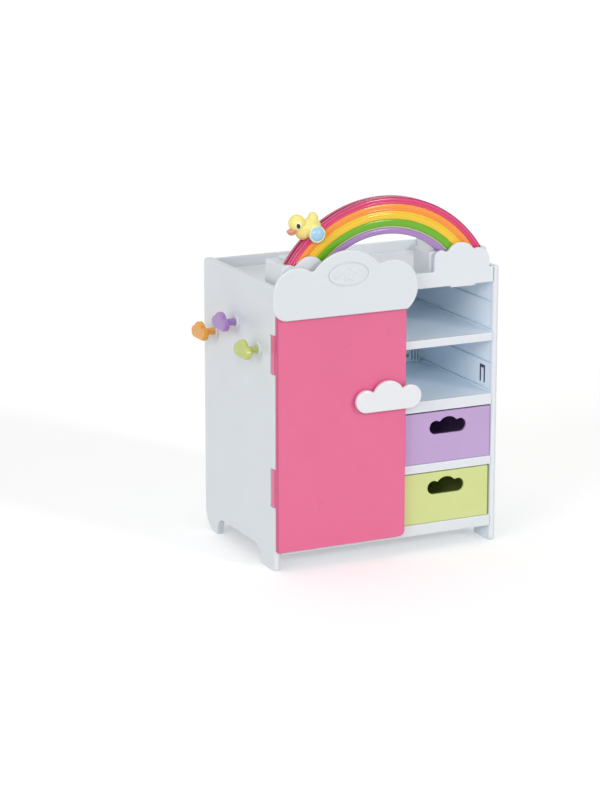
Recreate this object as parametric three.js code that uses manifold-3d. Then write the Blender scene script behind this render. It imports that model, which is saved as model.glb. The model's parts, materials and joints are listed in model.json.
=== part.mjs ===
// A doll's wardrobe: a moulded cabinet with a hinged door, two drawers, open shelves and a
// clothes rail, and a rainbow with a sliding duckling on its roof. Millimetres, +Z up, and the
// front faces -Y. The cabinet is drawn with x = 0 at its left outer face, y = 0 at its front
// edges and z = 0 at the floor, and the whole group is centred on its footprint at the end.

import * as THREE from 'three';
import { mergeVertices } from 'three/addons/utils/BufferGeometryUtils.js';
import Module from 'manifold-3d';

const wasm = await Module();
wasm.setup();

// Clearances
const seatGap = 0.3;          // between fixed pieces that meet
const pinGap = 0.3;           // round a pin or shaft in its bore, on the radius
const boardGap = 0.3;         // between a board and the panels at its ends
const doorGap = 0.5;          // between the closed door and the cabinet's front edges
const notchGap = 0.5;         // above and below a hinge knuckle in its notch
const drawerFloorGap = 0.3;   // under a drawer
const slideGap = 0.4;         // between the duckling and the band that it rides
const overrun = 2;            // how far a cutting tool runs past what it cuts
const weldDistance = 1e-4;    // corners closer than this are one corner

// Cabinet
const cabinetWidth = 356;
const cabinetDepth = 243;
const sideHeight = 410;
const sideThickness = 10;
const sideFrontRadius = 5;    // the full round on a side's front edge
const sideRearRadius = 2;
const sideTopRadius = 10;     // upper rear corner
const sideHeelRadius = 33;    // lower rear corner
const sideToeRadius = 3;      // lower front corner
const frontFootLength = 47;
const rearFootLength = 9;
const archHeight = 26;        // arch between the feet
const archRun = 21;           // how far an end of the arch leans
const archBendShares = { rise: 0.55, run: 0.35 };
const backThickness = 6;
const backInset = 2;          // back panel's rear face in from the sides' rear edges
const backTopDrop = 3;        // back panel's top below the sides'
const boardThickness = 4.5;
const lipThickness = 8;
const trayDrop = 18;          // tray's floor below the top of the sides
const trayRearLip = 12;
const baseBottom = 23.6;
const baseLip = 16.4;
const dividerShare = 0.573;   // right face of the upright between door and drawers
const dividerThickness = 8;
const upperShelfShare = 0.7634;  // tops of the shelves, of the sides' height
const lowerShelfShare = 0.5439;
const drawerShelfShare = 0.3159;
const upperShelfLip = 12;
const lowerShelfLip = 16.2;
const drawerShelfLip = 12.8;
const edgeRound = 0.8;

// Ledges and small fittings of the open shelves
const ledgeRise = 43;         // above a shelf
const ledgeHeight = 4;
const ledgeDepth = 2.5;
const ledgeFrontInset = 12;
const clipSlotY = 21;         // pocket with a springy tongue in the right side
const clipSlotRise = 23.5;    // its middle above the lower shelf
const clipSlotHeight = 26;
const clipSlotWidth = 17;
const clipSlotDepth = 3;
const clipTongueWidth = 6;
const clipTongueHeight = 21;
const clipTongueSink = 1;
const cornerBlockWidth = 14;  // screw block at the foot of the rear corner
const cornerBlockDepth = 17;
const cornerBlockHeight = 21;
const cornerBlockBore = 2.4;
const cornerBlockBoreDepth = 10;

// Door
const doorLeft = 0.6;
const doorRightInset = 2;     // door's free edge short of the divider's right face
const doorBottom = 29.2;
const doorTopDrop = 5.5;      // door's top below the tray
const doorThickness = 8;
const doorCorner = 9;         // lower corner at the free edge
const doorSmallCorner = 2.4;
const doorSkin = 3;
const doorRimWidth = 7;
const doorRib = 2.5;
const doorEdgeRound = 1.6;
const doorFaceBand = 44;      // solid band behind the handle
const doorTopBand = 34;       // solid band behind the front cloud
const pivotX = 5;
const pivotY = 9;
const pinRadius = 2;
const pinInset = 8;           // pin length in the side above and below a knuckle
const knuckleRear = 15.2;
const knuckleRound = 4;
const notchRear = 15.8;
const notchHeight = 56.5;
const upperNotchShare = 0.6976;  // bottoms of the notches, of the sides' height
const lowerNotchShare = 0.228;
const doorScrewRadius = 1.5;
const doorScrewHeadRadius = 3;
const doorScrewHeadHeight = 1.6;
const doorScrewBite = 4.5;    // shaft length in the piece that it holds

// Clouds: their lobes run left to right, as shares of the cloud's width. A lobe without a
// height of its own touches the flat bottom. A valley radius rounds the dip between two lobes.
const cloudArcStep = 0.36;    // radians
const doubledPointShare = 0.001;
const handleWidthShare = 0.505;  // of the way to the divider's right face
const handleOverhang = 19.7;  // past the door's free edge
const handleThickness = 10.5;
const handleBottomShare = 0.539;
const handleLobeShares = [
  { x: 0.159, radius: 0.159 },
  { x: 0.499, z: 0.179, radius: 0.243 },
  { x: 0.833, radius: 0.167 },
];
const handleValleyRadius = 2;
const handleEdgeRound = 3;
const handleScrewShares = [0.28, 0.66];
const handleScrewRise = 18;

// Front cloud on the door
const cloudWidthShare = 1.1015;  // of the way to the divider's right face
const cloudOverhang = 8.5;    // past the left side's outer face
const cloudThickness = 7;
const cloudLap = 17.2;        // cloud's bottom below the door's top
const cloudLobeShares = [
  { x: 0.164, radius: 0.164 },
  { x: 0.5105, z: 0.1237, radius: 0.287 },
  { x: 0.819, z: 0.1433, radius: 0.181 },
];
const cloudValleyRadius = 6;
const cloudEdgeRound = 2.4;
const cloudScrewShares = [0.27, 0.71];
const cloudScrewRise = 9;
const starAcrossShare = 0.5105;
const starRise = 58;
const starOuter = 15;
const starInner = 7.2;
const starPoints = 5;
const starRelief = 1.2;
const ringOuter = 22;
const ringWidth = 1.6;

// Small clouds that stand on the front rail, at the rainbow's feet
const footCloudThickness = 5;
const footCloudWidth = 88.7;
const leftFootCloudInset = 12.4;
const rightFootCloudInset = 17;
const footCloudLobeShares = [
  { x: 0.124, z: 0.214, radius: 0.124 },
  { x: 0.48, z: 0.18, radius: 0.264 },
  { x: 0.793, z: 0.122, radius: 0.207 },
];
const footCloudValleyRadius = 5;
const footCloudCorner = 2;
const footCloudEdgeRound = 1;
const tabInset = 25.7;        // lug under the rail, from the small cloud's left end
const tabWidth = 40;
const tabDepth = 3;
const tabDrop = 2.4;

// Drawers
const drawerSideGap = 2;
const drawerTopGap = 1.6;
const drawerFrontInset = 1.5;
const drawerFrontThickness = 4;
const drawerWall = 2.6;
const drawerCorner = 1.6;
const drawerBackGap = 5;
const drawerSideDrop = 6;     // sides and back lower than the front
const purpleShift = 0.6;      // drawer centre from the opening's centre
const greenShift = -1.6;
const cutoutRiseShare = 0.558;   // cut-out's flat bottom, of the drawer's height
const cutoutWidthShare = 0.794;  // of the drawer's height
const cutoutLobeShares = [
  { x: 0.168, radius: 0.168 },
  { x: 0.513, z: 0.111, radius: 0.303 },
  { x: 0.833, radius: 0.167 },
];
const cutoutValleyRadius = 1.5;

// Clothes rail and hangers
const railDrop = 42.5;        // rail's axis below the tray
const railDepthShare = 0.498;
const railRadius = 6;
const railSocketRadius = 10;
const railSocketLength = 7;
const hangerWidthShare = 0.79;   // of the cabinet's depth
const hangerDrop = 24;        // tips below the middle of the shoulder bar
const hangerBar = 8;
const hangerThickness = 4;
const hangerNeck = 17;
const hookRadius = 8;         // inside
const hookWire = 4.4;
const hookOpening = 0.62;     // angle past straight down that stays open, radians
const neckLap = 1.1;          // how far the neck runs into the hook's wire
const hangerShares = [0.26, 0.49, 0.72];  // places along the rail

// Rainbow and its pods
const rainbowAcrossShare = 0.4944;  // arch's centre, of the cabinet's width
const rainbowRadiusShare = 0.5084;  // of the cabinet's width
const rainbowDropShare = 0.5337;    // arch's centre below the pods' tops, of its radius
const rainbowFront = 6;
const rainbowThickness = 16;
const bandGap = 0.3;
const bandRound = 1.2;
const bandInset = 0.7;        // faces of the other bands behind the pink one's
const lightStripInset = 2.6;
const rainbowWidthShare = 0.2917;   // all bands together, of the arch's radius
const bands = [
  { name: 'pink_band', inset: 0, color: 0xe4577f },
  { name: 'orange_band', inset: bandInset, color: 0xfba64a },
  { name: 'yellow_band', inset: bandInset, color: 0xf1ce45 },
  { name: 'green_band', inset: bandInset, color: 0x74b82b },
  { name: 'light_strip', inset: lightStripInset, color: 0xd9d8cc },
  { name: 'purple_band', inset: bandInset, color: 0xae8bc0 },
];
const bandWidthShares = [0.191, 0.188, 0.225, 0.19, 0.045, 0.161];
const podRise = 28;           // pods' tops above the top of the sides
const podCorner = 4;
const podFrontGap = 0.6;      // between a pod and the tray's front rail
const podTopRound = 2;
const podInset = 17;          // from the cabinet's outer face
const leftPodWidth = 85;
const leftPodDepth = 59;
const rightPodWidth = 93;
const rightPodDepth = 49;
const coverLeftInset = 18;
const coverRearInset = 3.5;
const coverWidth = 60;
const coverDepth = 38;
const coverHeight = 4;
const coverCorner = 4;
const coverScrewInset = 6;
const coverScrewRadius = 2.6;
const coverScrewSink = 2.2;
const switchInset = 45;       // from the pod's left face
const switchRise = 30;        // above the tray's floor
const switchWidth = 7;
const switchTravel = 5;
const switchHeight = 5;
const switchDepth = 3;
const switchProud = 2.5;

// Duckling on the pink band: half-lengths and places, from its middle
const duckAngle = 0.671;      // from the top of the arch towards the left foot, radians
const duckLift = 4;           // body's middle outside the band's outer face
const duckHalfLength = 17.5;
const duckHalfWidth = 14.5;
const duckHalfHeight = 15;
const duckSaddleDepth = 42;
const duckHeadRadius = 12;
const duckHeadForward = 20;
const duckHeadUp = 9.2;
const duckTailRadius = 8.5;
const duckTailLength = 17;
const duckTailBack = 3;
const duckTailRise = 13.7;
const duckTailLean = -0.1;    // radians
const duckTailShares = [[1, 0], [0.92, 0.35], [0.55, 0.78], [0.2, 0.97]];
const duckBeakHalfLength = 6.5;
const duckBeakHalfWidth = 6.2;
const duckBeakHalfHeight = 5;
const duckBeakForward = 9.5;
const duckBeakDrop = 11.3;
const duckEyeRadius = 2.2;
const duckEyeHalfHeight = 2.9;
const duckEyeForward = 3;
const duckEyeDrop = 1.8;
const duckEyeProud = 0.9;
const duckWingRadius = 11.6;
const duckWingHalfThickness = 6;
const duckWingBack = 4.2;
const duckWingDrop = 6;
const duckWingProud = 3.2;

// Hanging knobs on the left side: places as shares of the side's depth and height
const knobs = [
  { name: 'orange_knob', depthShare: 0.827, heightShare: 0.751, color: 0xe9a23b },
  { name: 'purple_knob', depthShare: 0.523, heightShare: 0.822, color: 0xa77fc0 },
  { name: 'green_knob', depthShare: 0.214, heightShare: 0.763, color: 0xbfcb6e },
];
const knobReach = 29;
const knobHeadThickness = 10;
const knobStemRadius = 5;
const knobTongueRadius = 3.4;
const knobBaseRadius = 10.5;
const knobBaseThickness = 3;
const knobHeadWidth = 30;
const knobLobeShares = [
  { x: 0.233, radius: 0.233 },
  { x: 0.5, z: 0.417, radius: 0.35 },
  { x: 0.773, radius: 0.227 },
];
const knobValleyRadius = 1.5;
const knobHeadDrop = 11;
const knobEdgeRound = 2;

// Screws that hold the back panel
const backScrewInset = 60;    // from the cabinet's outer faces
const backScrewRadius = 1.5;
const backScrewHeadRadius = 3.4;
const backScrewHeadHeight = 1.4;
const backScrewLength = 12;

// Finishes
const finish = (color, roughness = 0.35, metalness = 0) =>
  new THREE.MeshStandardMaterial({ color, roughness, metalness });
const white = finish(0xe6eaed);
const whiteGloss = finish(0xf0f2f4, 0.25);
const doorPink = finish(0xe87098);
const steel = finish(0xb9bcc0, 0.3, 1);
const eyeBlack = finish(0x141414, 0.15);

const root = new THREE.Group();

// Adds a named piece to the object, from a geometry or a solid.
function add(name, shape, material, parent = root) {
  const geometry = shape.isBufferGeometry ? shape : toGeometry(shape);
  const mesh = new THREE.Mesh(geometry, material);
  mesh.name = name;
  parent.add(mesh);
  return mesh;
}

// A closed geometry as a solid that can be joined and cut.
function solid(geometry) {
  const bare = geometry.index ? geometry.toNonIndexed() : geometry.clone();
  bare.deleteAttribute('normal');
  bare.deleteAttribute('uv');
  const merged = mergeVertices(bare, weldDistance);
  return new wasm.Manifold(new wasm.Mesh({
    numProp: 3,
    vertProperties: new Float32Array(merged.attributes.position.array),
    triVerts: new Uint32Array(merged.index.array),
  }));
}

function toGeometry(body) {
  const mesh = body.getMesh();
  const geometry = new THREE.BufferGeometry();
  const places = new THREE.BufferAttribute(new Float32Array(mesh.vertProperties), 3);
  geometry.setAttribute('position', places);
  geometry.setIndex(new THREE.BufferAttribute(new Uint32Array(mesh.triVerts), 1));
  geometry.computeVertexNormals();
  return geometry;
}

// Turns a geometry drawn in (u, v, w) so that w runs along the named axis.
const bases = {
  x: [[0, 1, 0], [0, 0, 1], [1, 0, 0]],
  y: [[-1, 0, 0], [0, 0, 1], [0, 1, 0]],
  z: [[1, 0, 0], [0, 1, 0], [0, 0, 1]],
};
function orient(geometry, axis) {
  const columns = bases[axis].map((column) => new THREE.Vector3(...column));
  return geometry.applyMatrix4(new THREE.Matrix4().makeBasis(...columns));
}

// A box between the given faces. Its corners are set exactly, so that two boxes with a face
// in one plane join without a step.
function box(x0, x1, y0, y1, z0, z1) {
  const geometry = new THREE.BoxGeometry(1, 1, 1);
  const corners = geometry.attributes.position;
  for (let i = 0; i < corners.count; i += 1) {
    corners.setXYZ(
      i,
      corners.getX(i) < 0 ? x0 : x1,
      corners.getY(i) < 0 ? y0 : y1,
      corners.getZ(i) < 0 ? z0 : z1,
    );
  }
  return solid(geometry);
}

// Extrudes an outline from w0 to w1 along an axis, with its edges rounded by `round`.
// Along x the outline is (y, z), along z it is (x, y), and along y it is (-x, z).
function extrude(shape, axis, w0, w1, round = 0, steps = 2, curveSegments = 6) {
  const geometry = new THREE.ExtrudeGeometry(shape, {
    depth: w1 - w0 - 2 * round,
    steps: 1,
    curveSegments,
    bevelEnabled: round > 0,
    bevelThickness: round,
    bevelSize: round,
    bevelOffset: -round,
    bevelSegments: steps,
  });
  geometry.translate(0, 0, w0 + round);
  return orient(geometry, axis);
}

function cylinder(axis, radius, w0, w1, u, v, segments = 16) {
  const geometry = new THREE.CylinderGeometry(radius, radius, w1 - w0, segments);
  geometry.rotateX(Math.PI / 2);
  geometry.translate(u, v, (w0 + w1) / 2);
  return solid(orient(geometry, axis));
}

function roundedRectangle(u0, v0, u1, v1, radii) {
  const [a, b, c, d] = Array.isArray(radii) ? radii : [radii, radii, radii, radii];
  const quarter = Math.PI / 2;
  const shape = new THREE.Shape();
  shape.moveTo(u0 + a, v0);
  shape.lineTo(u1 - b, v0);
  if (b > 0) shape.absarc(u1 - b, v0 + b, b, -quarter, 0, false);
  shape.lineTo(u1, v1 - c);
  if (c > 0) shape.absarc(u1 - c, v1 - c, c, 0, quarter, false);
  shape.lineTo(u0 + d, v1);
  if (d > 0) shape.absarc(u0 + d, v1 - d, d, quarter, 2 * quarter, false);
  shape.lineTo(u0, v0 + a);
  if (a > 0) shape.absarc(u0 + a, v0 + a, a, 2 * quarter, 3 * quarter, false);
  return shape;
}

// The point above two neighbouring lobes where their circles, grown by a margin, cross.
function crossing(a, b, margin) {
  const dx = b.x - a.x;
  const dz = b.z - a.z;
  const apart = Math.hypot(dx, dz);
  const [reachA, reachB] = [a.radius + margin, b.radius + margin];
  const along = (apart ** 2 + reachA ** 2 - reachB ** 2) / (2 * apart);
  const off = Math.sqrt(reachA ** 2 - along ** 2);
  return { x: a.x + (along * dx - off * dz) / apart, z: a.z + (along * dz + off * dx) / apart };
}

// A cloud with a flat bottom: round lobes, left to right, joined by valleys of a given radius.
// An end lobe runs down to the bottom line, round a corner where it lies above the line.
// `side` is 1 for an outline in (x, z) and -1 for one in (-x, z).
function cloudShape(lobes, bottom, valleyRadius, side = 1, corner = 0) {
  const first = lobes[0];
  const last = lobes[lobes.length - 1];
  const valleys = lobes.slice(1).map((lobe, i) => crossing(lobes[i], lobe, valleyRadius));
  const points = [];
  const arc = (centre, radius, from, to) => {
    const count = Math.max(3, Math.ceil(Math.abs(to - from) / cloudArcStep));
    for (let i = 0; i <= count; i += 1) {
      const angle = from + ((to - from) * i) / count;
      points.push([centre.x + radius * Math.cos(angle), centre.z + radius * Math.sin(angle)]);
    }
  };
  const angleTo = (from, to) => Math.atan2(to.z - from.z, to.x - from.x);
  const restAngle = (lobe) => -Math.asin(Math.min(1, (lobe.z - bottom) / lobe.radius));
  const tall = first.z - first.radius > bottom + corner;
  if (tall) {
    arc({ x: first.x - first.radius + corner, z: bottom + corner }, corner, 1.5 * Math.PI, Math.PI);
  }
  lobes.forEach((lobe, i) => {
    const start = tall ? Math.PI : Math.PI - restAngle(lobe);
    const end = tall ? 0 : restAngle(lobe);
    const from = i === 0 ? start : angleTo(lobe, valleys[i - 1]);
    const to = i === lobes.length - 1 ? end : angleTo(lobe, valleys[i]);
    arc(lobe, lobe.radius, from, to);
    if (i < valleys.length) {
      arc(valleys[i], valleyRadius, angleTo(valleys[i], lobe), angleTo(valleys[i], lobes[i + 1]));
    }
  });
  if (tall) {
    arc({ x: last.x + last.radius - corner, z: bottom + corner }, corner, 0, -0.5 * Math.PI);
  }
  const kept = points.filter(([x, z], i) => {
    const [px, pz] = points[(i + points.length - 1) % points.length];
    return Math.hypot(x - px, z - pz) > first.radius * doubledPointShare;
  });
  return new THREE.Shape(kept.map(([x, z]) => new THREE.Vector2(side * x, z)));
}

// Lobes in millimetres from a table of shares.
function lobesOf(shares, width, left, bottom) {
  return shares.map(({ x, z, radius }) => ({
    x: left + x * width,
    z: bottom + (z === undefined ? radius : z) * width,
    radius: radius * width,
  }));
}

// Derived places
const innerLeft = sideThickness;
const innerRight = cabinetWidth - sideThickness;
const boardLeft = innerLeft + boardGap;
const boardRight = innerRight - boardGap;
const backRear = cabinetDepth - backInset;
const backFront = backRear - backThickness;
const boardRear = backFront - seatGap;
const backScrewTip = backRear - backScrewLength;
const dividerRight = dividerShare * cabinetWidth;
const dividerLeft = dividerRight - dividerThickness;
const upperShelfTop = upperShelfShare * sideHeight;
const lowerShelfTop = lowerShelfShare * sideHeight;
const drawerShelfTop = drawerShelfShare * sideHeight;
const handleWidth = handleWidthShare * dividerRight;
const handleBottom = handleBottomShare * sideHeight;
const cloudWidth = cloudWidthShare * dividerRight;
const railFromFront = railDepthShare * cabinetDepth;
const hangerWidth = hangerWidthShare * cabinetDepth;
const rainbowRadius = rainbowRadiusShare * cabinetWidth;
const rainbowCentreDrop = rainbowDropShare * rainbowRadius;
const rainbowWidth = rainbowWidthShare * rainbowRadius;
const trayFloor = sideHeight - trayDrop;
const trayBottom = trayFloor - boardThickness;
const trayTop = sideHeight - seatGap;
const backTop = sideHeight - backTopDrop;
const podTop = sideHeight + podRise;
const podFront = lipThickness + podFrontGap;
const baseTop = baseBottom + baseLip;
const doorBack = -doorGap;
const doorFace = doorBack - doorThickness;
const doorRight = dividerRight - doorRightInset;
const doorTop = trayBottom - doorTopDrop;
const handleLeft = doorRight + handleOverhang - handleWidth;
const handleScrewZ = handleBottom + handleScrewRise;
const cloudBottom = doorTop - cloudLap;
const cloudScrewZ = cloudBottom + cloudScrewRise;
const clipSlotZ = lowerShelfTop + clipSlotRise;
const backScrewX = [backScrewInset, cabinetWidth - backScrewInset];
const railHeight = trayBottom - railDrop;
const notches = [['upper', upperNotchShare], ['lower', lowerNotchShare]].map(([name, share]) => ({
  name, bottom: share * sideHeight, top: share * sideHeight + notchHeight,
}));
const drawerWidth = innerRight - dividerRight - 2 * drawerSideGap;
const drawerHeight = drawerShelfTop - drawerShelfLip - baseTop - drawerFloorGap - drawerTopGap;
const cutoutRise = cutoutRiseShare * drawerHeight;
const cutoutWidth = cutoutWidthShare * drawerHeight;
const knobPlaces = knobs.map((knob) => ({
  ...knob, y: knob.depthShare * cabinetDepth, z: knob.heightShare * sideHeight,
}));
const rainbowX = rainbowAcrossShare * cabinetWidth;
const rainbowCentreHeight = podTop - rainbowCentreDrop;
const footCloudBottom = trayTop + seatGap;
const footClouds = [
  ['left', leftFootCloudInset],
  ['right', cabinetWidth - rightFootCloudInset - footCloudWidth],
];

// Side panels
function sideOutline() {
  const heel = cabinetDepth - sideHeelRadius;
  const rearToe = heel - rearFootLength;
  const quarter = Math.PI / 2;
  const shape = new THREE.Shape();
  shape.moveTo(sideToeRadius, 0);
  shape.lineTo(frontFootLength, 0);
  shape.bezierCurveTo(
    frontFootLength, archHeight * archBendShares.rise,
    frontFootLength + archRun * archBendShares.run, archHeight,
    frontFootLength + archRun, archHeight,
  );
  shape.lineTo(rearToe - archRun, archHeight);
  shape.bezierCurveTo(
    rearToe - archRun * archBendShares.run, archHeight,
    rearToe, archHeight * archBendShares.rise,
    rearToe, 0,
  );
  shape.lineTo(heel, 0);
  shape.absarc(heel, sideHeelRadius, sideHeelRadius, -quarter, 0, false);
  shape.lineTo(cabinetDepth, sideHeight - sideTopRadius);
  shape.absarc(cabinetDepth - sideTopRadius, sideHeight - sideTopRadius, sideTopRadius, 0, quarter, false);
  shape.lineTo(sideToeRadius, sideHeight);
  shape.absarc(sideToeRadius, sideHeight - sideToeRadius, sideToeRadius, quarter, 2 * quarter, false);
  shape.lineTo(0, sideToeRadius);
  shape.absarc(sideToeRadius, sideToeRadius, sideToeRadius, 2 * quarter, 3 * quarter, false);
  return shape;
}

function sidePanel(left) {
  const right = left + sideThickness;
  const outline = solid(extrude(sideOutline(), 'x', left, right, 0, 1, 5));
  const front = sideFrontRadius;
  const rear = sideRearRadius;
  const plan = roundedRectangle(left, 0, right, cabinetDepth, [front, front, rear, rear]);
  return outline.intersect(solid(extrude(plan, 'z', -overrun, sideHeight + overrun, 0, 1, 4)));
}

let leftSide = sidePanel(0);
for (const notch of notches) {
  leftSide = leftSide.subtract(
    box(-overrun, sideThickness + overrun, -overrun, notchRear, notch.bottom, notch.top),
  );
  leftSide = leftSide.subtract(
    cylinder('z', pinRadius + pinGap, notch.bottom - pinInset, notch.top + pinInset, pivotX, pivotY),
  );
}
for (const knob of knobPlaces) {
  leftSide = leftSide.subtract(
    cylinder('x', knobTongueRadius + pinGap, -overrun, sideThickness + overrun, knob.y, knob.z),
  );
}
add('left_side_panel', leftSide, white);

let rightSide = sidePanel(innerRight);
for (const shelf of [upperShelfTop, lowerShelfTop]) {
  const bottom = shelf + ledgeRise;
  rightSide = rightSide.add(
    box(
      innerRight - ledgeDepth, innerRight + overrun, ledgeFrontInset, boardRear,
      bottom, bottom + ledgeHeight,
    ),
  );
}
const tongueY = clipSlotY + clipSlotWidth / 2;
rightSide = rightSide.subtract(box(
  innerRight - overrun, innerRight + clipSlotDepth,
  clipSlotY, clipSlotY + clipSlotWidth, clipSlotZ - clipSlotHeight / 2, clipSlotZ + clipSlotHeight / 2,
)).add(box(
  innerRight + clipTongueSink, innerRight + clipSlotDepth + clipTongueSink,
  tongueY - clipTongueWidth / 2, tongueY + clipTongueWidth / 2,
  clipSlotZ - clipSlotHeight / 2 - clipTongueSink, clipSlotZ - clipSlotHeight / 2 + clipTongueHeight,
));
add('right_side_panel', rightSide, white);

// Back panel
const backScrewZ = [baseBottom + baseLip / 2, trayFloor - trayRearLip / 2];
const backShape = roundedRectangle(-boardRight, baseBottom, -boardLeft, backTop, sideRearRadius);
let back = solid(extrude(backShape, 'y', backFront, backRear, edgeRound, 1, 2));
for (const x of backScrewX) {
  for (const z of backScrewZ) {
    back = back.subtract(
      cylinder('y', backScrewRadius + pinGap, backFront - overrun, backRear + overrun, -x, z, 10),
    );
  }
}
const blockLeft = boardRight - cornerBlockWidth;
const blockBottom = lowerShelfTop + seatGap;
const blockFront = backFront - cornerBlockDepth;
back = back.add(box(
  blockLeft, boardRight, blockFront, backFront + backThickness / 2,
  blockBottom, blockBottom + cornerBlockHeight,
)).subtract(cylinder(
  'y', cornerBlockBore, blockFront - overrun, blockFront + cornerBlockBoreDepth,
  -(blockLeft + cornerBlockWidth / 2), blockBottom + cornerBlockHeight / 2, 10,
));
add('back_panel', back, white);

// Boards: a thin board with a deeper lip along its front
function board(left, right, top, lip) {
  const floor = box(left, right, 0, boardRear, top - boardThickness, top);
  return floor.add(box(left, right, 0, lipThickness, top - lip, top));
}

function screwBores(body, z) {
  return backScrewX.reduce((rest, x) => rest.subtract(cylinder(
    'y', backScrewRadius + pinGap, backScrewTip - pinGap, boardRear + overrun, -x, z, 10,
  )), body);
}

const baseBoard = board(boardLeft, boardRight, baseTop, baseLip).add(
  box(boardLeft, boardRight, boardRear - lipThickness, boardRear, baseBottom, baseTop),
);
add('base_board', screwBores(baseBoard, backScrewZ[0]), white);

let tray = box(boardLeft, boardRight, 0, boardRear, trayBottom, trayFloor)
  .add(box(boardLeft, boardRight, 0, lipThickness, trayBottom, trayTop))
  .add(box(boardLeft, boardRight, boardRear - lipThickness, boardRear, trayFloor - trayRearLip, trayFloor));
for (const [, x] of footClouds) {
  tray = tray.add(box(
    x + tabInset, x + tabInset + tabWidth, 0, tabDepth, trayBottom - tabDrop, trayFloor,
  ));
}
add('top_tray', screwBores(tray, backScrewZ[1]), white);

const shelfLeft = dividerRight + boardGap;
add('upper_shelf', board(shelfLeft, boardRight, upperShelfTop, upperShelfLip), white);
add('lower_shelf', board(shelfLeft, boardRight, lowerShelfTop, lowerShelfLip), white);
add('drawer_shelf', board(shelfLeft, boardRight, drawerShelfTop, drawerShelfLip), white);

const dividerPlan = roundedRectangle(
  dividerLeft, 0, dividerRight, boardRear - lipThickness - seatGap, edgeRound,
);
add('divider_panel', solid(extrude(
  dividerPlan, 'z', baseTop + seatGap, trayBottom - seatGap, 0, 1, 2,
)), white);

backScrewX.forEach((x, column) => backScrewZ.forEach((z, row) => {
  const seat = backRear + seatGap;
  const head = cylinder('y', backScrewHeadRadius, seat, seat + backScrewHeadHeight, -x, z, 10);
  const shaft = cylinder(
    'y', backScrewRadius, backScrewTip, seat + backScrewHeadHeight / 2, -x, z, 8,
  );
  const side = column === 0 ? 'left' : 'right';
  add(`${row === 0 ? 'lower' : 'upper'}_${side}_back_screw`, head.add(shaft), steel);
}));

// Door, with its two hinge knuckles
const doorOutline = roundedRectangle(
  -doorRight, doorBottom, -doorLeft, doorTop,
  [doorCorner, doorSmallCorner, doorSmallCorner, doorSmallCorner],
);
let door = solid(extrude(doorOutline, 'y', doorFace, doorBack, doorEdgeRound, 1, 4));
const pocketRows = [
  [doorBottom + doorRimWidth, (doorBottom + handleScrewZ - doorFaceBand / 2) / 2 - doorRib / 2],
  [(doorBottom + handleScrewZ - doorFaceBand / 2) / 2 + doorRib / 2, handleScrewZ - doorFaceBand / 2],
  [handleScrewZ + doorFaceBand / 2, doorTop - doorTopBand],
];
const pocketLeft = sideThickness + doorRimWidth;
const pocketRight = doorRight - doorRimWidth;
const pocketMiddle = (pocketLeft + pocketRight) / 2;
const pocketColumns = [
  [pocketLeft, pocketMiddle - doorRib / 2],
  [pocketMiddle + doorRib / 2, pocketRight],
];
for (const [z0, z1] of pocketRows) {
  for (const [x0, x1] of pocketColumns) {
    door = door.subtract(box(x0, x1, doorFace + doorSkin, doorBack + overrun, z0, z1));
  }
}
for (const notch of notches) {
  const plan = roundedRectangle(
    0, doorBack - doorThickness / 2, sideThickness, knuckleRear,
    [0, 0, knuckleRound, knuckleRound],
  );
  const knuckle = solid(extrude(plan, 'z', notch.bottom + notchGap, notch.top - notchGap, 0, 1, 4));
  door = door.add(knuckle).subtract(
    cylinder('z', pinRadius + pinGap, notch.bottom, notch.top, pivotX, pivotY),
  );
}
const doorScrews = [
  ...handleScrewShares.map((share, i) => (
    { name: `handle_screw_${i + 1}`, x: handleLeft + share * handleWidth, z: handleScrewZ }
  )),
  ...cloudScrewShares.map((share, i) => (
    { name: `cloud_screw_${i + 1}`, x: -cloudOverhang + share * cloudWidth, z: cloudScrewZ }
  )),
];
const screwSeat = doorBack - doorScrewHeadHeight - seatGap;
const screwTip = doorFace - doorScrewBite;
function screwHole(screw, radius, from, to) {
  return cylinder('y', radius + pinGap, from, to, -screw.x, screw.z, 10);
}
for (const screw of doorScrews) {
  door = door
    .subtract(screwHole(screw, doorScrewRadius, doorFace - overrun, doorBack + overrun))
    .subtract(screwHole(screw, doorScrewHeadRadius, screwSeat - seatGap, doorBack + overrun));
  const headTop = screwSeat + doorScrewHeadHeight;
  const head = cylinder('y', doorScrewHeadRadius, screwSeat, headTop, -screw.x, screw.z, 10);
  const shaft = cylinder(
    'y', doorScrewRadius, screwTip, headTop - doorScrewHeadHeight / 2, -screw.x, screw.z, 8,
  );
  add(screw.name, head.add(shaft), steel);
}
add('door_panel', door, doorPink);

function withDoorScrewHoles(body) {
  return doorScrews.reduce((rest, screw) => rest.subtract(
    screwHole(screw, doorScrewRadius, screwTip - pinGap, doorFace + overrun),
  ), body);
}

for (const notch of notches) {
  add(`${notch.name}_hinge_pin`, cylinder(
    'z', pinRadius, notch.bottom - pinInset + seatGap, notch.top + pinInset - seatGap, pivotX, pivotY,
  ), steel);
}

const handleBack = doorFace - seatGap;
const handleLobes = lobesOf(handleLobeShares, handleWidth, handleLeft, handleBottom);
const handleFace = handleBack - handleThickness;
const handle = solid(extrude(
  cloudShape(handleLobes, handleBottom, handleValleyRadius, -1),
  'y', handleFace, handleBack, handleEdgeRound, 1,
));
add('door_handle_cloud', withDoorScrewHoles(handle), whiteGloss);

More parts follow.
